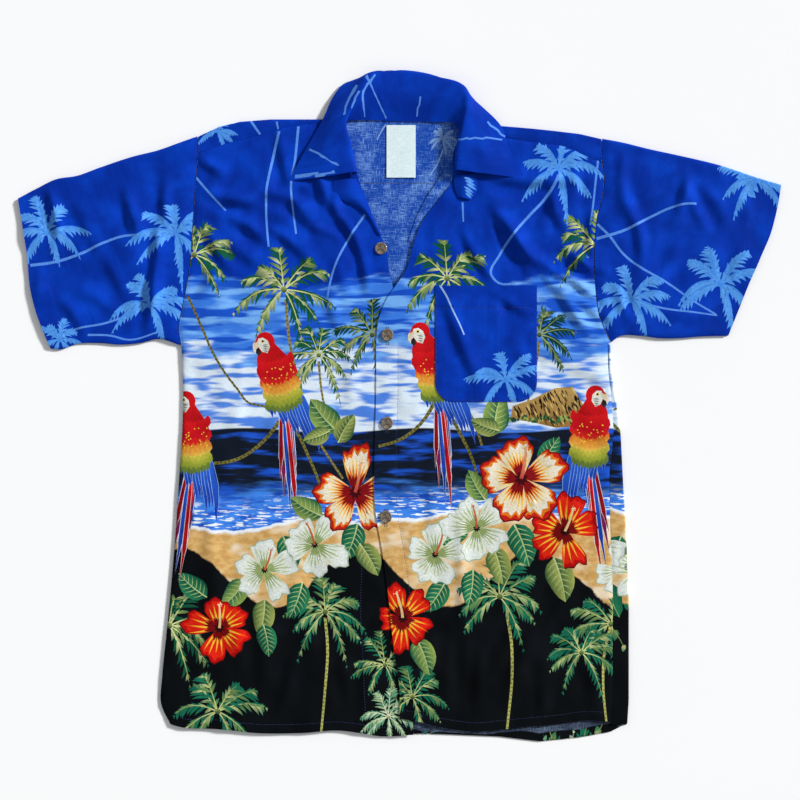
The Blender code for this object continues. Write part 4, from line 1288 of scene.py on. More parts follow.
def back():
    """The back below the yoke, print side down, with its hem allowance turned up on to its wrong side and
    its left side turned up on to the front."""
    side_x, armhole_x, hem_y = x_on(LEFT_SIDE), x_on(LEFT_ARMHOLE), y_on(BACK_HEM)
    roll = math.pi * TURN_RADIUS
    hem_roll = math.pi * HEM_TURN

    def edge_at(v):
        return side_x(v) - TURN_RADIUS

    def surface(flat):
        u, v = flat[:, 0], flat[:, 1]
        edge = edge_at(v)
        past = np.where(v < ARMPIT_Y + 2.5, u - edge, -1.0)
        angle = np.clip(past / TURN_RADIUS, 0.0, math.pi)
        over = np.maximum(past - roll, 0.0)
        x = np.where(past > 0, edge + TURN_RADIUS * np.sin(angle) - over, u)
        z = np.where(past > 0, TURN_RADIUS * (1 - np.cos(angle)), 0.0)
        seam_x = side_x(v) - np.interp(v, *np.array(WRAP).T)
        dip = np.where(past > roll, seam_dip(x - seam_x), 0.0)
        z = z + smooth_step(over / STRIP_CALM) * relief(x, v) * STRIP_SHARE - dip
        below = hem_y(u) - v
        hem_angle = np.clip(below / HEM_TURN, 0.0, math.pi)
        hem_over = np.maximum(below - hem_roll, 0.0)
        folded = (below > 0) & (past <= 0)
        y = np.where(folded, hem_y(u) - HEM_TURN * np.sin(hem_angle) + hem_over, v)
        z = np.where(folded, HEM_TURN * (1 - np.cos(hem_angle)), z)
        return stacked(x, y, z)

    side = curve(LEFT_SIDE)
    rim = side - (TURN_RADIUS, 0.0)
    reach = np.interp(rim[:, 1], *np.array(WRAP).T) - TURN_RADIUS
    strip = rim + np.stack([roll + reach, np.zeros(len(rim))], axis=1)
    yoke_line = curve(YOKE_SEAM) - (0.0, SEAM_GAP)
    armhole_top = LEFT_ARMHOLE[:6]
    left_arm = curve(armhole_top) - (2 * TURN_RADIUS, 0.0)
    right = curve(RIGHT_SIDE) + (0.6, 0.0)
    right_arm = curve((*RIGHT_ARMHOLE[:5], YOKE_SEAM[0])) + (0.6, 0.0)
    allowance = curve(BACK_HEM)
    allowance[:, 1] -= hem_roll + np.interp(allowance[:, 0], *np.array(ALLOWANCE).T)
    allowance = allowance[(allowance[:, 0] > -277.0) & (allowance[:, 0] < 270.0)]
    corner = (strip[0][0], rim[0][1] + 1.0)
    outline = loop(allowance, np.array([(271.0, -400.0), (277.0, -395.5), corner]), strip[2:], rim[-1:],
                   left_arm[1:-1], yoke_line[::-1][1:-1], right_arm[::-1][1:], right[::-1][1:-1],
                   np.array([(-279.0, -393.0)]))
    rows = offset_rows(rim, np.linspace(0.0, roll, TURN_ROWS), "x")
    rows += offset_rows(rim, (roll + 2.0, -2.0), "x")
    rows += offset_rows(curve(BACK_HEM), -np.linspace(0.0, hem_roll, 5), "y")
    shifted = []
    for shift in BACK_SHIFTS:
        prints = [row for row in RIGHT_PRINT if shift == 0.0 or row[1] > SHIFTED_FROM - REPEAT + 25]
        prints = [row for row in prints if row[0] != "macaw" or (row[1] > -200 and shift < 2 * REPEAT)]
        stems = RIGHT_STEMS[4:] if shift else RIGHT_STEMS  # the thin lines of the sky are drawn once
        shifted.append(drawn(prints, stems, 300 + int(shift), shift, full=False))
    return panel("printed_back", outline, surface, combined(shifted), rows, step=BACK_LATTICE, print_up=-1.0)


def yoke():
    """The yoke, print side down, turned up over both shoulders on to the front seams."""
    ridge = (*RIGHT_RIDGE, *NECK_SEAM[1:-1], *LEFT_RIDGE[::-1])
    ridge_y = y_on(ridge)
    right_y, left_y = y_on(RIGHT_SHOULDER), y_on(LEFT_SHOULDER)
    roll = math.pi * TURN_RADIUS
    neck_right, neck_left = RIGHT_RIDGE[-1][0], LEFT_RIDGE[-1][0]

    def seam_y(x):
        return np.where(x < 0, right_y(x), left_y(x)) + SEAM_GAP

    def surface(flat):
        u, v = flat[:, 0], flat[:, 1]
        rim = ridge_y(u) - TURN_RADIUS
        past = np.where((u > neck_right) & (u < neck_left), -1.0, v - rim)
        angle = np.clip(past / TURN_RADIUS, 0.0, math.pi)
        over = np.maximum(past - roll, 0.0)
        y = np.where(past > 0, rim + TURN_RADIUS * np.sin(angle) - over, v)
        z = np.where(past > 0, TURN_RADIUS * (1 - np.cos(angle)), 0.0)
        dip = np.where(past > roll, seam_dip(y - seam_y(u)), 0.0)
        z = z + smooth_step(over / STRIP_CALM) * relief(u, y) * STRIP_SHARE - dip
        return stacked(u, y, z)

    def shoulder(line, step):
        top = curve(line)[::step]
        rim = ridge_y(top[:, 0]) - TURN_RADIUS
        return np.stack([top[:, 0], rim + roll + np.maximum(rim - seam_y(top[:, 0]), 0.4)], axis=1)

    low = curve(YOKE_SEAM) + (0.0, SEAM_GAP)
    neck = curve(NECK_SEAM) + (0.0, NECK_TUCK)
    left_strip, right_strip = shoulder(LEFT_SHOULDER, 1), shoulder(RIGHT_SHOULDER, -1)
    left_arm = straight((YOKE_SEAM[-1][0] - 0.4, YOKE_SEAM[-1][1] + 2.0), left_strip[0] - (0.0, 1.0))
    right_arm = straight(right_strip[-1] - (0.0, 1.0), (YOKE_SEAM[0][0] + 0.4, YOKE_SEAM[0][1] + 2.0))
    outline = loop(low, left_arm, left_strip, neck[::-1][1:-1], right_strip, right_arm)
    across = np.arange(-246.0, 247.0, 3.0)
    fold = np.stack([across, ridge_y(across) - TURN_RADIUS], axis=1)
    fold = fold[(fold[:, 0] < neck_right) | (fold[:, 0] > neck_left)]
    rows = offset_rows(fold, np.linspace(0.0, roll, TURN_ROWS), "y")
    rows += offset_rows(fold, (roll + 2.0, roll + 4.5, -2.0), "y")

    def past_the_ridge(p):
        """Flat places of points seen from above on the strips that come over the shoulders."""
        return np.stack([p[:, 0], 2 * (ridge_y(p[:, 0]) - TURN_RADIUS) + roll - p[:, 1]], axis=1)

    art = remapped(drawn(YOKE_PRINT, YOKE_STEMS, 400), past_the_ridge)
    showing_through = drawn(YOKE_INSIDE_PRINT, YOKE_INSIDE_STEMS, 410)
    return panel("printed_yoke", outline, surface, art, rows, print_up=-1.0, wrong_art=showing_through)


class Tube:
    """A flattened sleeve, cut open along its under seam. Flat axes: s along the fold over the arm, and d
    down from it, positive on the upper ply. hand is 1 or -1, to keep the axes right-handed."""

    def __init__(self, lines):
        over = curve(lines["over"])
        self.start = over[0]
        self.way = (over[-1] - over[0]) / np.linalg.norm(over[-1] - over[0])
        down = np.array([self.way[1], -self.way[0]])
        self.down = down if down[1] < 0 else -down
        self.hand = np.sign(self.way[0] * self.down[1] - self.way[1] * self.down[0])
        self.over_s = (over - self.start) @ self.way
        self.over_d = (over - self.start) @ self.down
        under = curve(lines["under"])
        order = np.argsort((under - self.start) @ self.way)
        self.under_s = ((under - self.start) @ self.way)[order]
        self.under_d = ((under - self.start) @ self.down)[order]
        self.armhole_x = x_on(lines["armhole"])
        self.cuff_x = x_on(lines["cuff"])
        self.length = self.over_s[-1]

    def depth(self, s):
        """How far the under seam lies below the fold over the arm."""
        return np.interp(s, self.under_s, self.under_d) - np.interp(s, self.over_s, self.over_d)

    def to_flat(self, points, upper=1.0):
        s = (points - self.start) @ self.way
        d = (points - self.start) @ self.down - np.interp(s, self.over_s, self.over_d)
        return np.stack([s, self.hand * upper * d], axis=1)

    def surface(self, flat):
        s, d = flat[:, 0], self.hand * flat[:, 1]
        reach = np.abs(d) + np.interp(s, self.over_s, self.over_d)
        place = self.start + s[:, None] * self.way + reach[:, None] * self.down
        x, y = place[:, 0], place[:, 1]
        share = np.clip(s / self.length, 0.0, 1.0)
        rise = SLEEVE_RISE + (CUFF_RISE - SLEEVE_RISE) * smooth_step((share - 0.55) / 0.45)
        from_armhole = np.abs(x - self.armhole_x(y))
        from_cuff = np.abs(self.cuff_x(y) - x)
        rise = rise - 1.7 * np.exp(-((from_armhole / 5.0) ** 2))
        round_over = arc(np.abs(d) / (0.5 * rise + 0.4))
        to_under = self.depth(s) - np.abs(d)
        calm = (0.25 + 0.75 * smooth_step(to_under / TUBE_CALM)) * smooth_step(np.abs(d) / SIDE_CALM)
        calm = calm * (0.45 + 0.55 * smooth_step(from_armhole / TUBE_CALM))
        top = no_lower_than(SLEEVE_LOW, 0.5 * rise * (1.0 + round_over) + relief(x, y) * calm)
        top = top + puckered(from_cuff - CUFF_HEM, y)
        top = top + HEM_RISE * smooth_step((CUFF_HEM - from_cuff) / HEM_STEP)
        top = SIDE_EDGE + (top - SIDE_EDGE) * arc((to_under + 0.3) / SIDE_ROUND)
        bottom = 0.5 * rise * (1.0 - round_over)
        least = 0.5 * rise * (d < 1.0) + 1.4 * (d >= 1.0)
        return stacked(x, y, np.where(d >= 0, np.maximum(top, least), bottom))

    def outline(self, lines):
        under, cuff = self.to_flat(curve(lines["under"])), self.to_flat(curve(lines["cuff"]))
        armhole = self.to_flat(curve(lines["armhole"]))
        mirror = np.array([1.0, -1.0])
        lower = ((cuff * mirror)[::-1], (under * mirror)[::-1], armhole * mirror)
        return anticlockwise(loop(under, cuff, *lower, armhole[::-1]))

    def rows(self):
        s = np.arange(2.0, self.length + 22.0, 3.0)
        rows = [np.stack([s, np.full(len(s), 0.0)], axis=1)]
        for d in (0.35, 0.9, 1.7, 2.6, 4.2):
            rows += [np.stack([s, np.full(len(s), hand * d)], axis=1) for hand in (1, -1)]
        depth = self.depth(s)
        inner = (s > self.under_s[0]) & (s < self.under_s[-1])
        for inset in (0.5, 1.4, 2.8):
            rows.append(np.stack([s[inner], self.hand * (depth[inner] - inset)], axis=1))
        return rows


def sleeve(name, lines, prints, stems, seed):
    tube = Tube(lines)
    upper = remapped(drawn(prints, stems, seed), tube.to_flat)
    hidden = [(kind, x, y - 14, size, turn + 40, look) for kind, x, y, size, turn, look in prints]
    lower = remapped(drawn(hidden, (), seed + 50, full=False), lambda p: tube.to_flat(p, upper=-1.0))
    return panel(name, tube.outline(lines), tube.surface, combined([lower, upper]), tube.rows())


def grid_size(grid):
    """Mean length of a grid of places along its first index and along its second."""
    along = np.linalg.norm(np.diff(grid, axis=0), axis=2).sum(axis=0).mean()
    depth = np.linalg.norm(np.diff(grid, axis=1), axis=2).sum(axis=1).mean()
    return along, depth


def sampled(grid, width, depth):
    """Surface through a fine grid of places. Flat axes run to width along the grid's first index and to
    depth along its second."""
    rows, columns = grid.shape[:2]

    def surface(flat):
        i = np.clip(flat[:, 0] / width, 0.0, 1.0) * (rows - 1)
        j = np.clip(flat[:, 1] / depth, 0.0, 1.0) * (columns - 1)
        i0 = np.minimum(i.astype(int), rows - 2)
        j0 = np.minimum(j.astype(int), columns - 2)
        a, b = (i - i0)[:, None], (j - j0)[:, None]
        return ((1 - a) * (1 - b) * grid[i0, j0] + a * (1 - b) * grid[i0 + 1, j0]
                + (1 - a) * b * grid[i0, j0 + 1] + a * b * grid[i0 + 1, j0 + 1])

    return surface


def smooth_normals(grid, width, depth, ply, print_up):
    """Surface of the wrong side: each grid point moved back by a ply along the grid's own normal."""
    normal = np.cross(np.gradient(grid, axis=0), np.gradient(grid, axis=1))
    normal /= np.linalg.norm(normal, axis=2)[..., None] + 1e-9
    return sampled(grid - print_up * ply * normal, width, depth)


def plan_to_flat(grid, along, depth):
    """Function that finds the flat place of points seen from above: the highest part of the grid there."""
    rows, columns = grid.shape[:2]
    places = grid.reshape(-1, 3)
    tree = tree_of(places)

    def place(points):
        flat = []
        for x, y in points:
            found = tree.find_range((x, y, 0.0), 3.5) or [tree.find((x, y, 0.0))]
            index = max(found, key=lambda hit: places[hit[1]][2] - 2.0 * hit[2])[1]
            flat.append((along * (index // columns) / (rows - 1), depth * (index % columns) / (columns - 1)))
        return np.array(flat) + 0.05 * np.sin(np.arange(2 * len(flat)).reshape(-1, 2))

    return place


def collar():
    """Stand, roll and fall from one leaf round the neck to the other."""
    table = [[dict(zip(COLLAR_COLUMNS, row))[key] for key in (
        "roll_x", "roll_y", "roll_z", "seam_x", "seam_y", "seam_z", "stand_z", "fall_z", "edge_x",
        "edge_y", "edge_z")] for row in COLLAR]
    sections = []
    for number, row in enumerate(smooth_line(table, COLLAR_STATIONS)):
        roll, seam, stand_z, fall_z, edge = row[:3], row[3:6], row[6], row[7], row[8:11]
        stand = np.array([*(seam + STAND_SHARE * (roll - seam))[:2], stand_z])
        fall = np.array([*(roll + FALL_SHARE * (edge - roll))[:2], fall_z])
        section = smooth_line((seam, stand, roll, fall, edge), COLLAR_STEPS)
        share = np.linspace(0.0, 1.0, COLLAR_STEPS + 1)
        leaf_share = np.clip(np.abs(roll[0] - edge[0]) / 60.0, 0.0, 1.0)
        wave = 0.35 * np.sin(number / 5.0 + 4 * share) * np.sin(math.pi * share) * leaf_share
        section[:, 2] = np.maximum(section[:, 2] + wave, COLLAR_FOOT)
        sections.append(section)
    grid = np.stack(sections)
    along, depth = grid_size(grid)
    outline = rectangle(0.0, 0.0, along, depth)
    art = remapped(drawn((), COLLAR_STEMS, 800), plan_to_flat(grid, along, depth), longest=9.0)
    round_roll = np.arange(1.5, along, 2.6)
    fine_rows = [np.stack([round_roll, np.full(len(round_roll), depth * share)], axis=1)
                 for share in np.linspace(0.25, 0.62, 12)]
    return panel("printed_collar", outline, sampled(grid, along, depth), art, fine_rows, step=COLLAR_LATTICE,
                 ply=COLLAR_PLY, under=smooth_normals(grid, along, depth, COLLAR_PLY, 1.0))


def lapel(name, table, print_up):
    stations = smooth_line([[row[0], row[1], 0.0, *row[2:]] for row in table], 26)
    sections = []
    for row in stations:
        roll, edge, crest_z = row[:2], row[3:5], row[5]
        crest = roll + CREST_SHARE * (edge - roll)
        top = (*crest, max(crest_z, LAPEL_FOOT + 0.4))
        sections.append(smooth_line(((*roll, LAPEL_FOOT), top, (*edge, LAPEL_FOOT)), 14))
    grid = np.stack(sections)
    along, depth = grid_size(grid)
    outline = rectangle(0.0, 0.0, along, depth)
    art = Artwork()
    if print_up > 0:
        for k in range(6):
            base = np.array([along * (0.12 + 0.13 * k), depth * (0.42 + 0.05 * (k % 3))])
            art.blade(base, base + (0.16 * along, 0.46 * depth), 3.4, (104, 170, 244), (70, 140, 236))
    return panel(name, outline, sampled(grid, along, depth), art, (), step=LAPEL_LATTICE, print_up=print_up,
                 under=smooth_normals(grid, along, depth, PLY, print_up))


def facing():
    """The left facing, wrong side up."""
    inner, outer = [row[:2] for row in LEFT_FACING], [row[2:] for row in LEFT_FACING]
    outline = anticlockwise(loop(curve(inner)[::-1], straight(inner[0], outer[0]), curve(outer),
                                 straight(outer[-1], inner[-1])))

    def surface(flat):
        x, y = flat[:, 0], flat[:, 1]
        level = FACING_LEVEL - PLY - 0.35 + 0.3 * np.sin(y / 13.0) + 0.15 * np.sin(x / 5.0)
        return stacked(x, y, level)

    return panel("facing_wrong_side", outline, surface, None, (), step=FACING_LATTICE, print_up=-1.0)


def pocket_outline():
    p = POCKET
    r = p["corner"]
    turn = np.linspace(0.0, math.pi / 2, 9)
    right_corner = np.stack([p["right"] - r + r * np.sin(turn), p["bottom"] + r - r * np.cos(turn)], axis=1)
    left_corner = np.stack([p["left"] + r - r * np.cos(turn), p["bottom"] + r - r * np.sin(turn)], axis=1)
    return loop(straight((p["left"] + r, p["bottom"]), (p["right"] - r, p["bottom"])), right_corner,
                straight((p["right"], p["bottom"] + r), (p["right"], p["top"])),
                straight((p["right"], p["top"]), (p["left"], p["top"])),
                straight((p["left"], p["top"]), (p["left"], p["bottom"] + r)), left_corner)


def pocket():
    p = POCKET

    def surface(flat):
        x, y = flat[:, 0], flat[:, 1]
        base = left_front_surface(flat)[:, 2]
        border = np.minimum(np.minimum(x - p["left"], p["right"] - x), y - p["bottom"])
        lift = PLY + 0.25 + 0.35 * arc(border / 4.0)
        hem = HEM_RISE * smooth_step((y - p["top"] + p["hem"]) / HEM_STEP)
        lift = lift + puckered(p["top"] - y - p["hem"], x) + hem
        lift = lift + puckered(border - 1.8, x + y, half=3.0) * 0.7
        return stacked(x, y, base + np.maximum(lift, PLY + 0.1))

    outline = pocket_outline()
    centre = outline.mean(axis=0)
    rows = [centre + (outline - centre) * share for share in (0.985, 0.965, 0.94)]
    across = np.arange(p["left"] + 3, p["right"] - 2, 3.0)
    hem_y = p["top"] - p["hem"]
    rows += [np.stack([across, np.full(len(across), hem_y + d)], axis=1) for d in (-1.5, 0.0, 1.5)]
    return panel("printed_pocket", outline, surface, drawn(POCKET_PRINT, POCKET_STEMS, 500), rows)


def label():
    g = LABEL
    outline = rectangle(g["left"], g["bottom"], g["right"], g["top"])

    def surface(flat):
        x, y = flat[:, 0], flat[:, 1]
        hang = (g["top"] - y) / (g["top"] - g["bottom"])
        level = 1.75 + 0.7 * hang**4 + 0.15 * np.sin(x / 6.0) * hang
        return stacked(x, y, level)

    return panel("bare_neck_label", outline, surface, None, (), step=LABEL_LATTICE, ply=LABEL_PLY)


# ---------------------------------------------------------------- buttons and stitches

def button(name, x, y, foot):
    """A dished coconut button with two holes."""
    ring = [spot((0.0, 0.0), r, max(8, int(6 * r))) for r in (2.8, 4.2, 5.2, 6.0, 6.6, 7.0, 7.35)]
    outline = spot((0.0, 0.0), BUTTON_RADIUS, 56)
    holes = [spot((0.0, side * HOLE_SPREAD), HOLE_RADIUS, 14) for side in (-1, 1)]

    def top(flat):
        r = np.linalg.norm(flat, axis=1)
        dish = BUTTON_DISH * (1.0 - smooth_step(r - (BUTTON_RADIUS - BUTTON_RIM) + 0.6))
        crown = 0.7 * (1.0 - arc((BUTTON_RADIUS - r) / 1.1))
        return stacked(x + flat[:, 0], y + flat[:, 1], foot + BUTTON_THICK - dish - crown)

    def bottom(flat):
        r = np.linalg.norm(flat, axis=1)
        rounding = 0.7 * (1.0 - arc((BUTTON_RADIUS - r) / 1.4))
        return stacked(x + flat[:, 0], y + flat[:, 1], foot + rounding)

    return panel(name, outline, top, None, ring, step=BUTTON_LATTICE, ply=BUTTON_THICK, under=bottom,
                 holes=holes)


def spindles(name, places, headings, ups, lengths):
    """Small pointed stitches joined in one mesh."""
    verts, faces = [], []
    for place, heading, up, length in zip(places, headings, ups, lengths):
        side = np.cross(up, heading)
        start = len(verts)
        a, b = 0.5 * length * heading, 0.24 * length * heading
        w, h = STITCH_HALF_WIDTH * side, STITCH_HALF_HEIGHT * up
        verts += [place - a - h, place + a - h]
        for end in (-b, b):
            verts += [place + end + w, place + end + h, place + end - w, place + end - h]
        for j in range(4):
            k = (j + 1) % 4
            faces.append((start, start + 2 + k, start + 2 + j))
            faces.append((start + 2 + j, start + 2 + k, start + 6 + k, start + 6 + j))
            faces.append((start + 1, start + 6 + j, start + 6 + k))
    obj = mesh_object(name, verts, faces)
    obj.data.shade_smooth()
    return obj


def run_of_stitches(surface, flat_line, runs):
    """Adds stitches along a flat line on a surface to the lists in runs."""
    line = np.asarray(flat_line, float)
    along = np.concatenate([[0.0], np.cumsum(np.linalg.norm(np.diff(line, axis=0), axis=1))])
    at = np.arange(STITCH_PITCH, along[-1] - STITCH_PITCH, STITCH_PITCH)
    flat = np.stack([np.interp(at, along, line[:, k]) for k in range(2)], axis=1)
    ahead = np.stack([np.interp(at + 0.8, along, line[:, k]) for k in range(2)], axis=1)
    place, front = surface(flat), surface(ahead)
    heading = front - place
    heading /= np.linalg.norm(heading, axis=1)[:, None] + 1e-9
    up = normals_at(surface, flat)
    up = up * np.sign(up[:, 2:3] + 1e-9)
    place = place + 0.05 * up
    for key, value in zip(("places", "headings", "ups"), (place, heading, up)):
        runs[key].extend(value)
    runs["lengths"].extend([STITCH_LENGTH] * len(place))


def stitching():
    """Hem, placket, facing, pocket and cuff stitches."""
    runs = {"places": [], "headings": [], "ups": [], "lengths": []}
    run_of_stitches(right_front_surface, curve(BUTTON_HEM)[1:] + (0.0, HEM_DEPTH), runs)
    run_of_stitches(left_front_surface, curve(HOLE_HEM)[1:-1] + (0.0, HEM_DEPTH), runs)
    placket = curve(HOLE_EDGE_LOW) + (PLACKET, 0.0)
    run_of_stitches(left_front_surface, placket[4:], runs)
    facing_line = curve(((-42, -386), (-45, -320), (-48, -245), (-44, -160), (-38, -100)))
    run_of_stitches(right_front_surface, facing_line, runs)
    outline = pocket_outline()
    centre = outline.mean(axis=0)
    p = POCKET
    inner = centre + (outline - centre) * 0.972
    inner = inner[inner[:, 1] < p["top"] - 3.0]
    order = np.argsort(np.arctan2(inner[:, 0] - centre[0], -(inner[:, 1] - centre[1])))

    def pocket_surface(flat):
        return left_front_surface(flat) + (0.0, 0.0, PLY + 0.62)

    run_of_stitches(pocket_surface, inner[order], runs)
    hem_y = p["top"] - p["hem"]
    run_of_stitches(pocket_surface, straight((p["left"] + 2, hem_y), (p["right"] - 2, hem_y)), runs)
    for lines in (RIGHT_SLEEVE, LEFT_SLEEVE):
        tube = Tube(lines)
        cuff = curve(lines["cuff"])
        inward = np.array([-CUFF_HEM * np.sign(cuff[0, 0]), 0.0])
        run_of_stitches(tube.surface, tube.to_flat(cuff + inward)[2:-2], runs)
    return spindles("topstitching", runs["places"], runs["headings"], runs["ups"], runs["lengths"])


def buttonholes():
    """Thread bars along both sides of each fastened buttonhole, seen above and below its button."""
    up, across = np.array([0.0, 0.0, 1.0]), np.array([1.0, 0.0, 0.0])
    places = []
    for x, y in BUTTONS[1:]:
        for k in range(BUTTONHOLE_BARS):
            for side in (-1, 1):
                bar_y = y - BUTTONHOLE_BELOW + BUTTONHOLE_LENGTH * k / (BUTTONHOLE_BARS - 1)
                flat = np.array([[x + side * BUTTONHOLE_HALF, bar_y]])
                places.append(left_front_surface(flat)[0] + STITCH_LIFT * up)
    count = len(places)
    return spindles("buttonhole_threads", places, [across] * count, [up] * count, [BAR_LENGTH] * count)


def button_threads():
    """Three threads over each button, from hole to hole."""
    up, ahead = np.array([0.0, 0.0, 1.0]), np.array([0.0, 1.0, 0.0])
    places = []
    for number, (x, y) in enumerate(BUTTONS):
        top = button_foot(number) + BUTTON_THICK - BUTTON_DISH
        for shift in (-0.35, 0.0, 0.35):
            places.append(np.array([x + shift, y, top + STITCH_LIFT]))
    count = len(places)
    return spindles("button_threads", places, [ahead] * count, [up] * count, [2 * HOLE_SPREAD + 1.0] * count)


def button_foot(number):
    """Level of a button's underside. All but the first lie on the lap."""
    return FRONT_LEVEL + SEAM_GAP + (LAP_RISE if number else 0.0)


# ---------------------------------------------------------------- materials

class Graph:
    """Short names for the nodes of a material."""

    def __init__(self, name):
        self.material = bpy.data.materials.new(name)
        self.material.use_nodes = True
        self.tree = self.material.node_tree
        self.shader = self.tree.nodes["Principled BSDF"]

    def node(self, kind, inputs=(), **settings):
        made = self.tree.nodes.new(kind)
        for key, value in settings.items():
            setattr(made, key, value)
        for key, value in dict(inputs).items():
            self.feed(made.inputs[key], value)
        return made

    def feed(self, socket, value):
        if isinstance(value, bpy.types.NodeSocket):
            self.tree.links.new(value, socket)
        elif isinstance(value, tuple) and len(value) == 3 and socket.type == "RGBA":
            socket.default_value = (*value, 1.0)
        else:
            socket.default_value = value

    def sum(self, kind, a, b=0.0, c=0.0):
        return self.node("ShaderNodeMath", {0: a, 1: b, 2: c}, operation=kind).outputs[0]

    def smooth(self, value, low, high, start=0.0, end=1.0):
        limits = {"Value": value, "From Min": low, "From Max": high, "To Min": start, "To Max": end}
        return self.node("ShaderNodeMapRange", limits, interpolation_type="SMOOTHSTEP").outputs["Result"]

    def mix(self, share, a, b):
        made = self.node("ShaderNodeMix", data_type="RGBA")
        for key, value in (("Factor", share), ("A", a), ("B", b)):
            kind = "VALUE" if key == "Factor" else "RGBA"
            socket = next(s for s in made.inputs if s.name == key and s.type == kind)
            self.feed(socket, value)
        return next(s for s in made.outputs if s.type == "RGBA")

    def noise(self, x, y, wide, tall, detail=3.0, shift=0.0):
        """Noise whose blots are about wide by tall millimetres."""
        spot_x = self.sum("MULTIPLY_ADD", x, 1.0 / wide, shift)
        spot_y = self.sum("MULTIPLY_ADD", y, 1.0 / tall, shift)
        place = self.node("ShaderNodeCombineXYZ", {"X": spot_x, "Y": spot_y}).outputs[0]
        made = self.node("ShaderNodeTexNoise",
                         {"Vector": place, "Scale": 1.0, "Detail": detail, "Roughness": 0.55})
        return made.outputs["Fac"]

    def wave(self, x, length, phase, height, base=0.0):
        angle = self.sum("MULTIPLY_ADD", x, 2 * math.pi / length, phase)
        return self.sum("MULTIPLY_ADD", self.sum("SINE", angle), height, base)


TINTS = {
    # royal_shade and royal_light are painted shade and painted light for the plain ground's broad blots
    "royal": (0, 52, 172), "royal_shade": (0, 42, 150), "royal_light": (2, 66, 196),
    "sky_blue": (58, 122, 224), "sky_light": (118, 178, 246), "cloud": (222, 236, 248),
    "sea_dark": (15, 24, 38), "sea_blue": (28, 84, 200), "shallow": (66, 136, 236), "foam": (240, 247, 252),
    "sand_pale": (240, 224, 196), "sky_deep": (22, 80, 196), "sand": (222, 182, 118),
    "sand_shade": (200, 154, 88), "night": (4, 7, 10), "night_light": (8, 12, 17), "heather": (18, 70, 172),
    "heather_light": (128, 174, 238), "heather_dark": (46, 56, 76), "heather_grey": (122, 138, 164),
}
T = {key: linear(value) for key, value in TINTS.items()}


def cloth_axes(g):
    at = g.node("ShaderNodeAttribute", attribute_name="cloth").outputs["Vector"]
    split = g.node("ShaderNodeSeparateXYZ", {"Vector": at})
    return split.outputs["X"], split.outputs["Y"]


def royal(g, x, y):
    """Plain royal blue, mottled with broad blots of painted shade and painted light, as soft folds would
    give, and fine streaks.
    """
    # painted shade and painted light: broad blots between a darker and a lighter royal stand in for the
    # shading of soft folds
    blot = g.noise(x, y, 46.0, 46.0, 3.0, 3.1)
    ground = g.mix(g.smooth(blot, 0.38, 0.66), T["royal_shade"], T["royal_light"])
    streak = g.noise(x, y, 5.0, 60.0, 2.0, 1.7)
    return g.mix(g.smooth(streak, 0.35, 0.75, 0.25, 0.75), ground, T["royal"])


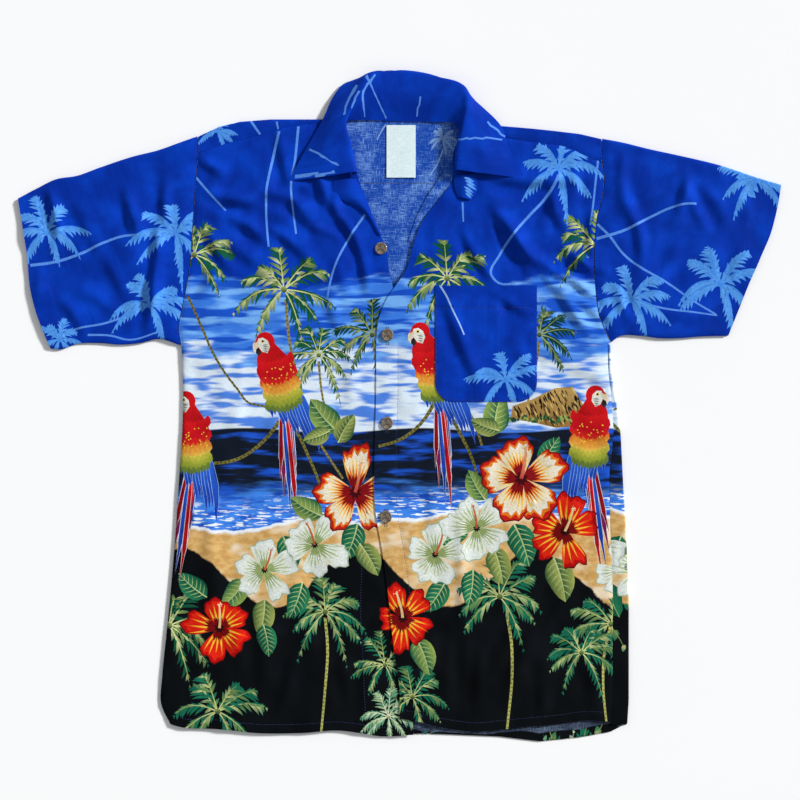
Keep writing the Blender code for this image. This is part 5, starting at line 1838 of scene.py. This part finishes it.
def seascape(g, x, y):
    """The scene behind the motifs: royal sky, clouds, sea, surf, sand and night, from the top down."""
    ragged = g.sum("MULTIPLY_ADD", g.noise(x, y, 30.0, 16.0, 4.0), 16.0, -8.0)
    level = g.sum("ADD", y, ragged)
    patch = g.noise(x, y, 60.0, 18.0, 2.0, 5.3)
    sky = g.mix(g.smooth(patch, 0.42, 0.6), T["sky_blue"], T["sky_light"])
    streak = g.noise(x, y, 80.0, 12.0, 2.2, 8.9)
    streaked = g.sum("MULTIPLY", g.smooth(streak, 0.49, 0.58), g.smooth(y, 35.0, 85.0))
    sky = g.mix(streaked, sky, T["sky_deep"])
    lower_sky = g.smooth(y, 110.0, 30.0, -0.22, 0.22)
    cloudy = g.smooth(g.sum("ADD", g.noise(x, y, 75.0, 19.0, 2.0, 3.7), lower_sky), 0.5, 0.62)
    blue_streak = g.smooth(g.noise(x, y, 62.0, 12.0, 2.2, 6.1), 0.46, 0.6, 0.0, 0.95)
    cloud = g.mix(blue_streak, T["cloud"], T["sky_blue"])
    sky = g.mix(cloudy, sky, cloud)
    sky_top = g.wave(x, REPEAT, 2.2, 9.0, 152.0)
    ground = g.mix(g.smooth(g.sum("SUBTRACT", level, sky_top), -3.0, 4.0), sky, royal(g, x, y))
    swell = g.noise(x, y, 80.0, 13.0, 3.0, 2.4)
    lower = g.smooth(g.sum("MULTIPLY_ADD", swell, 70.0, y), -82.0, -58.0)
    sea = g.mix(g.smooth(swell, 0.5, 0.66), T["sea_dark"], T["sea_blue"])
    ripple = g.noise(x, y, 36.0, 7.0, 3.0, 6.6)
    near = g.mix(g.smooth(ripple, 0.34, 0.56), T["sea_blue"], T["shallow"])
    surf = g.noise(x, y, 20.0, 3.2, 2.0, 4.2)
    shore = g.wave(x, REPEAT, 2 * math.pi * 154.0 / REPEAT, 9.0, -145.0)
    shore = g.sum("ADD", shore, g.smooth(x, -40.0, -10.0, 0.0, 15.0))
    shore = g.sum("MULTIPLY_ADD", g.noise(x, y, 14.0, 40.0, 3.0), 9.0, g.sum("SUBTRACT", shore, 4.5))
    above = g.sum("SUBTRACT", y, shore)
    foamy = g.sum("MULTIPLY", g.smooth(surf, 0.54, 0.58), g.smooth(above, 40.0, 14.0))
    near = g.mix(foamy, near, T["foam"])
    sea = g.mix(lower, near, sea)
    horizon = g.wave(x, REPEAT, 0.8, 3.0, -30.0)
    ground = g.mix(g.smooth(g.sum("SUBTRACT", y, horizon), -1.2, 0.8), sea, ground)
    grain = g.noise(x, y, 12.0, 7.0, 5.0, 7.5)
    sand = g.mix(g.smooth(grain, 0.36, 0.64), T["sand_shade"], T["sand"])
    bleached = g.smooth(g.noise(x, y, 55.0, 30.0, 2.0, 3.9), 0.5, 0.66, 0.0, 0.85)
    sand = g.mix(bleached, sand, T["sand_pale"])
    sand = g.mix(g.smooth(above, -7.0, -2.0), sand, T["foam"])
    ground = g.mix(g.smooth(above, -1.5, 0.5), sand, ground)
    dusk = g.wave(x, REPEAT, 2 * math.pi * 50.0 / REPEAT + math.pi / 2, 36.0, -213.0)
    dusk = g.sum("MULTIPLY_ADD", g.noise(x, y, 22.0, 22.0, 4.0, 9.9), 18.0, g.sum("SUBTRACT", dusk, 9.0))
    dark = g.mix(g.smooth(g.noise(x, y, 40.0, 60.0, 2.0, 1.2), 0.4, 0.65), T["night"], T["night_light"])
    return g.mix(g.smooth(g.sum("SUBTRACT", y, dusk), -2.0, 1.5), dark, ground)


def woven(g, x, y, colour, rough, strength):
    """Ends a cloth material: thread shade, weave bump and a soft sheen."""
    warp = g.noise(x, y, 0.55, 6.0, 2.0, 0.3)
    weft = g.noise(x, y, 6.0, 0.55, 2.0, 0.7)
    thread = g.sum("ADD", warp, weft)
    shade = g.smooth(thread, 0.7, 1.3, 0.0, 0.16)
    g.feed(g.shader.inputs["Base Color"], g.mix(shade, colour, T["night"]))
    wear = g.noise(x, y, 30.0, 30.0, 3.0, 0.9)
    g.feed(g.shader.inputs["Roughness"], g.smooth(wear, 0.3, 0.7, rough - 0.06, rough + 0.06))
    bump = g.node("ShaderNodeBump", {"Height": thread, "Strength": strength, "Distance": 0.0003})
    g.feed(g.shader.inputs["Normal"], bump.outputs["Normal"])
    g.shader.inputs["Sheen Weight"].default_value = 0.01
    g.shader.inputs["Sheen Roughness"].default_value = 0.5
    g.shader.inputs["Specular IOR Level"].default_value = 0.06
    return g.material


def printed(name, ground):
    """Print side: the ground with the drawn motifs over it."""
    g = Graph(name)
    x, y = cloth_axes(g)
    paint = g.node("ShaderNodeAttribute", attribute_name="print")
    speck = g.smooth(g.noise(x, y, 2.4, 2.4, 3.0, 2.9), 0.3, 0.7, 0.0, 0.22)
    motif = g.mix(speck, paint.outputs["Color"], T["night"])
    return woven(g, x, y, g.mix(paint.outputs["Alpha"], ground(g, x, y), motif), 0.8, 0.25)


def wrong_side():
    """Wrong side: the print's ground showing through pale crossed threads."""
    g = Graph("cloth_wrong_side")
    x, y = cloth_axes(g)
    down = g.noise(x, y, 1.0, 8.0, 3.0, 4.4)
    across = g.noise(x, y, 11.0, 1.2, 3.0, 8.1)
    thread = g.sum("MAXIMUM", down, across)
    blot = g.smooth(g.noise(x, y, 26.0, 26.0, 3.0, 2.2), 0.35, 0.7, 0.0, 0.14)
    light = g.smooth(g.sum("ADD", thread, blot), 0.52, 0.86)
    upper = g.mix(light, T["heather"], T["heather_light"])
    lower = g.mix(light, T["heather_dark"], T["heather_grey"])
    ground = g.mix(g.smooth(y, -150.0, -60.0), lower, upper)
    paint = g.node("ShaderNodeAttribute", attribute_name="print")
    share = g.sum("MULTIPLY", paint.outputs["Alpha"], 0.75)
    return woven(g, x, y, g.mix(share, ground, paint.outputs["Color"]), 0.8, 0.35)


def tape():
    g = Graph("label_tape")
    x, y = cloth_axes(g)
    rib = g.noise(x, y, 9.0, 0.8, 2.0, 3.3)
    colour = g.mix(g.smooth(rib, 0.3, 0.7), linear((214, 238, 242)), linear((238, 250, 252)))
    edge = g.noise(x, y, 14.0, 14.0, 2.0, 1.1)
    colour = g.mix(g.smooth(edge, 0.4, 0.8, 0.0, 0.2), colour, linear((200, 226, 232)))
    return woven(g, x, y, colour, 0.62, 0.3)


def coconut():
    """Coconut shell: brown with dark and pale flecks that run one way, and a dull polish."""
    g = Graph("coconut_shell")
    x, y = cloth_axes(g)
    fleck = g.noise(x, y, 0.5, 2.6, 4.0, 5.5)
    cloud = g.noise(x, y, 4.0, 4.0, 3.0, 7.7)
    colour = g.mix(g.smooth(cloud, 0.35, 0.65), linear((70, 60, 50)), linear((128, 114, 98)))
    colour = g.mix(g.smooth(fleck, 0.58, 0.68), colour, linear((186, 170, 148)))
    colour = g.mix(g.smooth(fleck, 0.42, 0.34), colour, linear((34, 26, 22)))
    g.feed(g.shader.inputs["Base Color"], colour)
    g.feed(g.shader.inputs["Roughness"], g.smooth(cloud, 0.3, 0.7, 0.3, 0.46))
    bump = g.node("ShaderNodeBump", {"Height": fleck, "Strength": 0.3, "Distance": 0.0003})
    g.feed(g.shader.inputs["Normal"], bump.outputs["Normal"])
    g.shader.inputs["Coat Weight"].default_value = 0.2
    return g.material


def thread_material(name, colour):
    g = Graph(name)
    place = g.node("ShaderNodeTexCoord").outputs["Object"]
    twist = g.node("ShaderNodeTexNoise", {"Vector": place, "Scale": 2600.0, "Detail": 2.0}).outputs["Fac"]
    dark = tuple(0.45 * c for c in linear(colour))
    g.feed(g.shader.inputs["Base Color"], g.mix(g.smooth(twist, 0.35, 0.65), dark, linear(colour)))
    bump = g.node("ShaderNodeBump", {"Height": twist, "Strength": 0.4, "Distance": 0.0002})
    g.feed(g.shader.inputs["Normal"], bump.outputs["Normal"])
    g.shader.inputs["Roughness"].default_value = 0.6
    g.shader.inputs["Sheen Weight"].default_value = 0.15
    return g.material


# ---------------------------------------------------------------- stage

FLOOR_HALF = 6.0
FLOOR_DROP = 0.0008  # keeps the floor just below the cloth that rests on it
SKY_COLOUR = (0.96, 0.98, 1.0, 1.0)
SKY_STRENGTH = 0.40
SUN_ENERGY = 4.2
SUN_ANGLE = 9.0  # width of its disc in degrees, for soft shadow edges
SUN_AZIMUTH, SUN_HEIGHT = 28.0, 28.0
SENSOR_WIDTH = 36.0
CAMERA_DISTANCE = 2.2
FRAME_WIDTH = 0.992  # metres that the picture spans
CAMERA_CENTRE = (0.0006, 0.0074)


def floor_material():
    g = Graph("white_floor")
    place = g.node("ShaderNodeTexCoord").outputs["Object"]
    grain = g.node("ShaderNodeTexNoise", {"Vector": place, "Scale": 3.0}).outputs["Fac"]
    g.feed(g.shader.inputs["Base Color"], g.mix(grain, (0.93, 0.93, 0.93), (0.95, 0.95, 0.95)))
    g.shader.inputs["Roughness"].default_value = 0.9
    return g.material


def stage():
    """Floor, light from all round, one lamp and the camera straight above."""
    mesh = bpy.data.meshes.new("floor")
    corners = [(x * FLOOR_HALF, y * FLOOR_HALF, 0) for x, y in ((-1, -1), (1, -1), (1, 1), (-1, 1))]
    mesh.from_pydata(corners, [], [(0, 1, 2, 3)])
    mesh.materials.append(floor_material())
    floor = bpy.data.objects.new("floor", mesh)
    floor.location.z = -FLOOR_DROP
    bpy.context.scene.collection.objects.link(floor)
    world = bpy.data.worlds.new("studio")
    world.use_nodes = True
    background = world.node_tree.nodes["Background"]
    background.inputs["Color"].default_value = SKY_COLOUR
    background.inputs["Strength"].default_value = SKY_STRENGTH
    bpy.context.scene.world = world
    key = bpy.data.lights.new("key", "SUN")
    key.energy = SUN_ENERGY
    key.angle = math.radians(SUN_ANGLE)
    lamp = bpy.data.objects.new("key", key)
    azimuth, height = math.radians(SUN_AZIMUTH), math.radians(SUN_HEIGHT)
    away = Vector((math.cos(height) * math.cos(azimuth), math.cos(height) * math.sin(azimuth),
                   math.sin(height)))
    lamp.rotation_euler = away.to_track_quat("Z", "Y").to_euler()
    lamp.location = 3.0 * away
    bpy.context.scene.collection.objects.link(lamp)
    data = bpy.data.cameras.new("camera")
    camera = bpy.data.objects.new("camera", data)
    data.sensor_width = SENSOR_WIDTH
    data.lens = SENSOR_WIDTH * CAMERA_DISTANCE / FRAME_WIDTH
    camera.location = (*CAMERA_CENTRE, CAMERA_DISTANCE)
    bpy.context.scene.collection.objects.link(camera)
    bpy.context.scene.camera = camera
    bpy.context.scene.view_settings.view_transform = "Standard"


def chart_size(obj):
    """Flat width, length and area of a panel, from its own cloth axes and print side."""
    mesh = obj.data
    spots = np.zeros(3 * len(mesh.vertices))
    mesh.attributes["cloth"].data.foreach_get("vector", spots)
    spots = spots.reshape(-1, 3)[:, :2]
    area = 0.0
    for polygon in mesh.polygons:
        if polygon.material_index == 0 and len(polygon.vertices) == 3:
            a, b, c = (spots[i] for i in polygon.vertices)
            area += 0.5 * abs((b[0] - a[0]) * (c[1] - a[1]) - (b[1] - a[1]) * (c[0] - a[0]))
    wide, tall = (spots.max(axis=0) - spots.min(axis=0)) * MM
    return wide, tall, area * MM**2


def finish(obj, materials, node=None):
    """Gives a piece its materials and its body, and hides the part's node that it replaces."""
    for material in materials:
        obj.data.materials.append(material)
    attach(obj, "root")
    if node:
        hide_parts(node)


def main():
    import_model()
    scenic = printed("printed_cloth", seascape)
    plain = printed("plain_printed_cloth", royal)
    wrong, label_tape, shell = wrong_side(), tape(), coconut()
    collar_piece = collar()
    pieces = (
        (back(), "back", (scenic, wrong), ["floor"]),
        (yoke(), "yoke", (plain, wrong), ["floor"]),
        (front_right(), "front_right", (scenic, wrong), ["back"]),
        (front_left(), "front_left", (scenic, wrong), ["back", "front_right"]),
        (sleeve("printed_sleeve_right", RIGHT_SLEEVE, RIGHT_SLEEVE_PRINT, RIGHT_SLEEVE_STEMS, 600),
         "sleeve_right", (plain, wrong), ["floor"]),
        (sleeve("printed_sleeve_left", LEFT_SLEEVE, LEFT_SLEEVE_PRINT, LEFT_SLEEVE_STEMS, 700),
         "sleeve_left", (plain, wrong), ["floor"]),
        (collar_piece, "collar", (plain, plain), ["yoke", "front_right", "front_left"]),
        (lapel("lapel_right_tab", RIGHT_LAPEL, -1.0), "lapel_right", (plain, wrong), ["front_right"]),
        (lapel("lapel_left_tab", LEFT_LAPEL, 1.0), "lapel_left", (plain, wrong), ["front_left"]),
        (facing(), "facing_left", (plain, wrong), ["back"]),
        (pocket(), "pocket", (plain, wrong), ["front_left"]),
        (label(), "neck_label", (label_tape, label_tape), ["yoke"]),
    )
    for obj, node, materials, rests in pieces:
        finish(obj, materials, node)
        wide, tall, area = chart_size(obj)
        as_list(rests)
    for number, (x, y) in enumerate(BUTTONS):
        made = button(f"coconut_button_{number + 1}", x, y, button_foot(number))
        finish(made, (shell, shell), f"button_{number + 1}")
    for made, material in ((stitching(), thread_material("navy_thread", (20, 44, 120))),
                           (buttonholes(), thread_material("black_thread", (24, 34, 60))),
                           (button_threads(), thread_material("brown_thread", (120, 100, 84)))):
        finish(made, (material,))
    stage()


main()
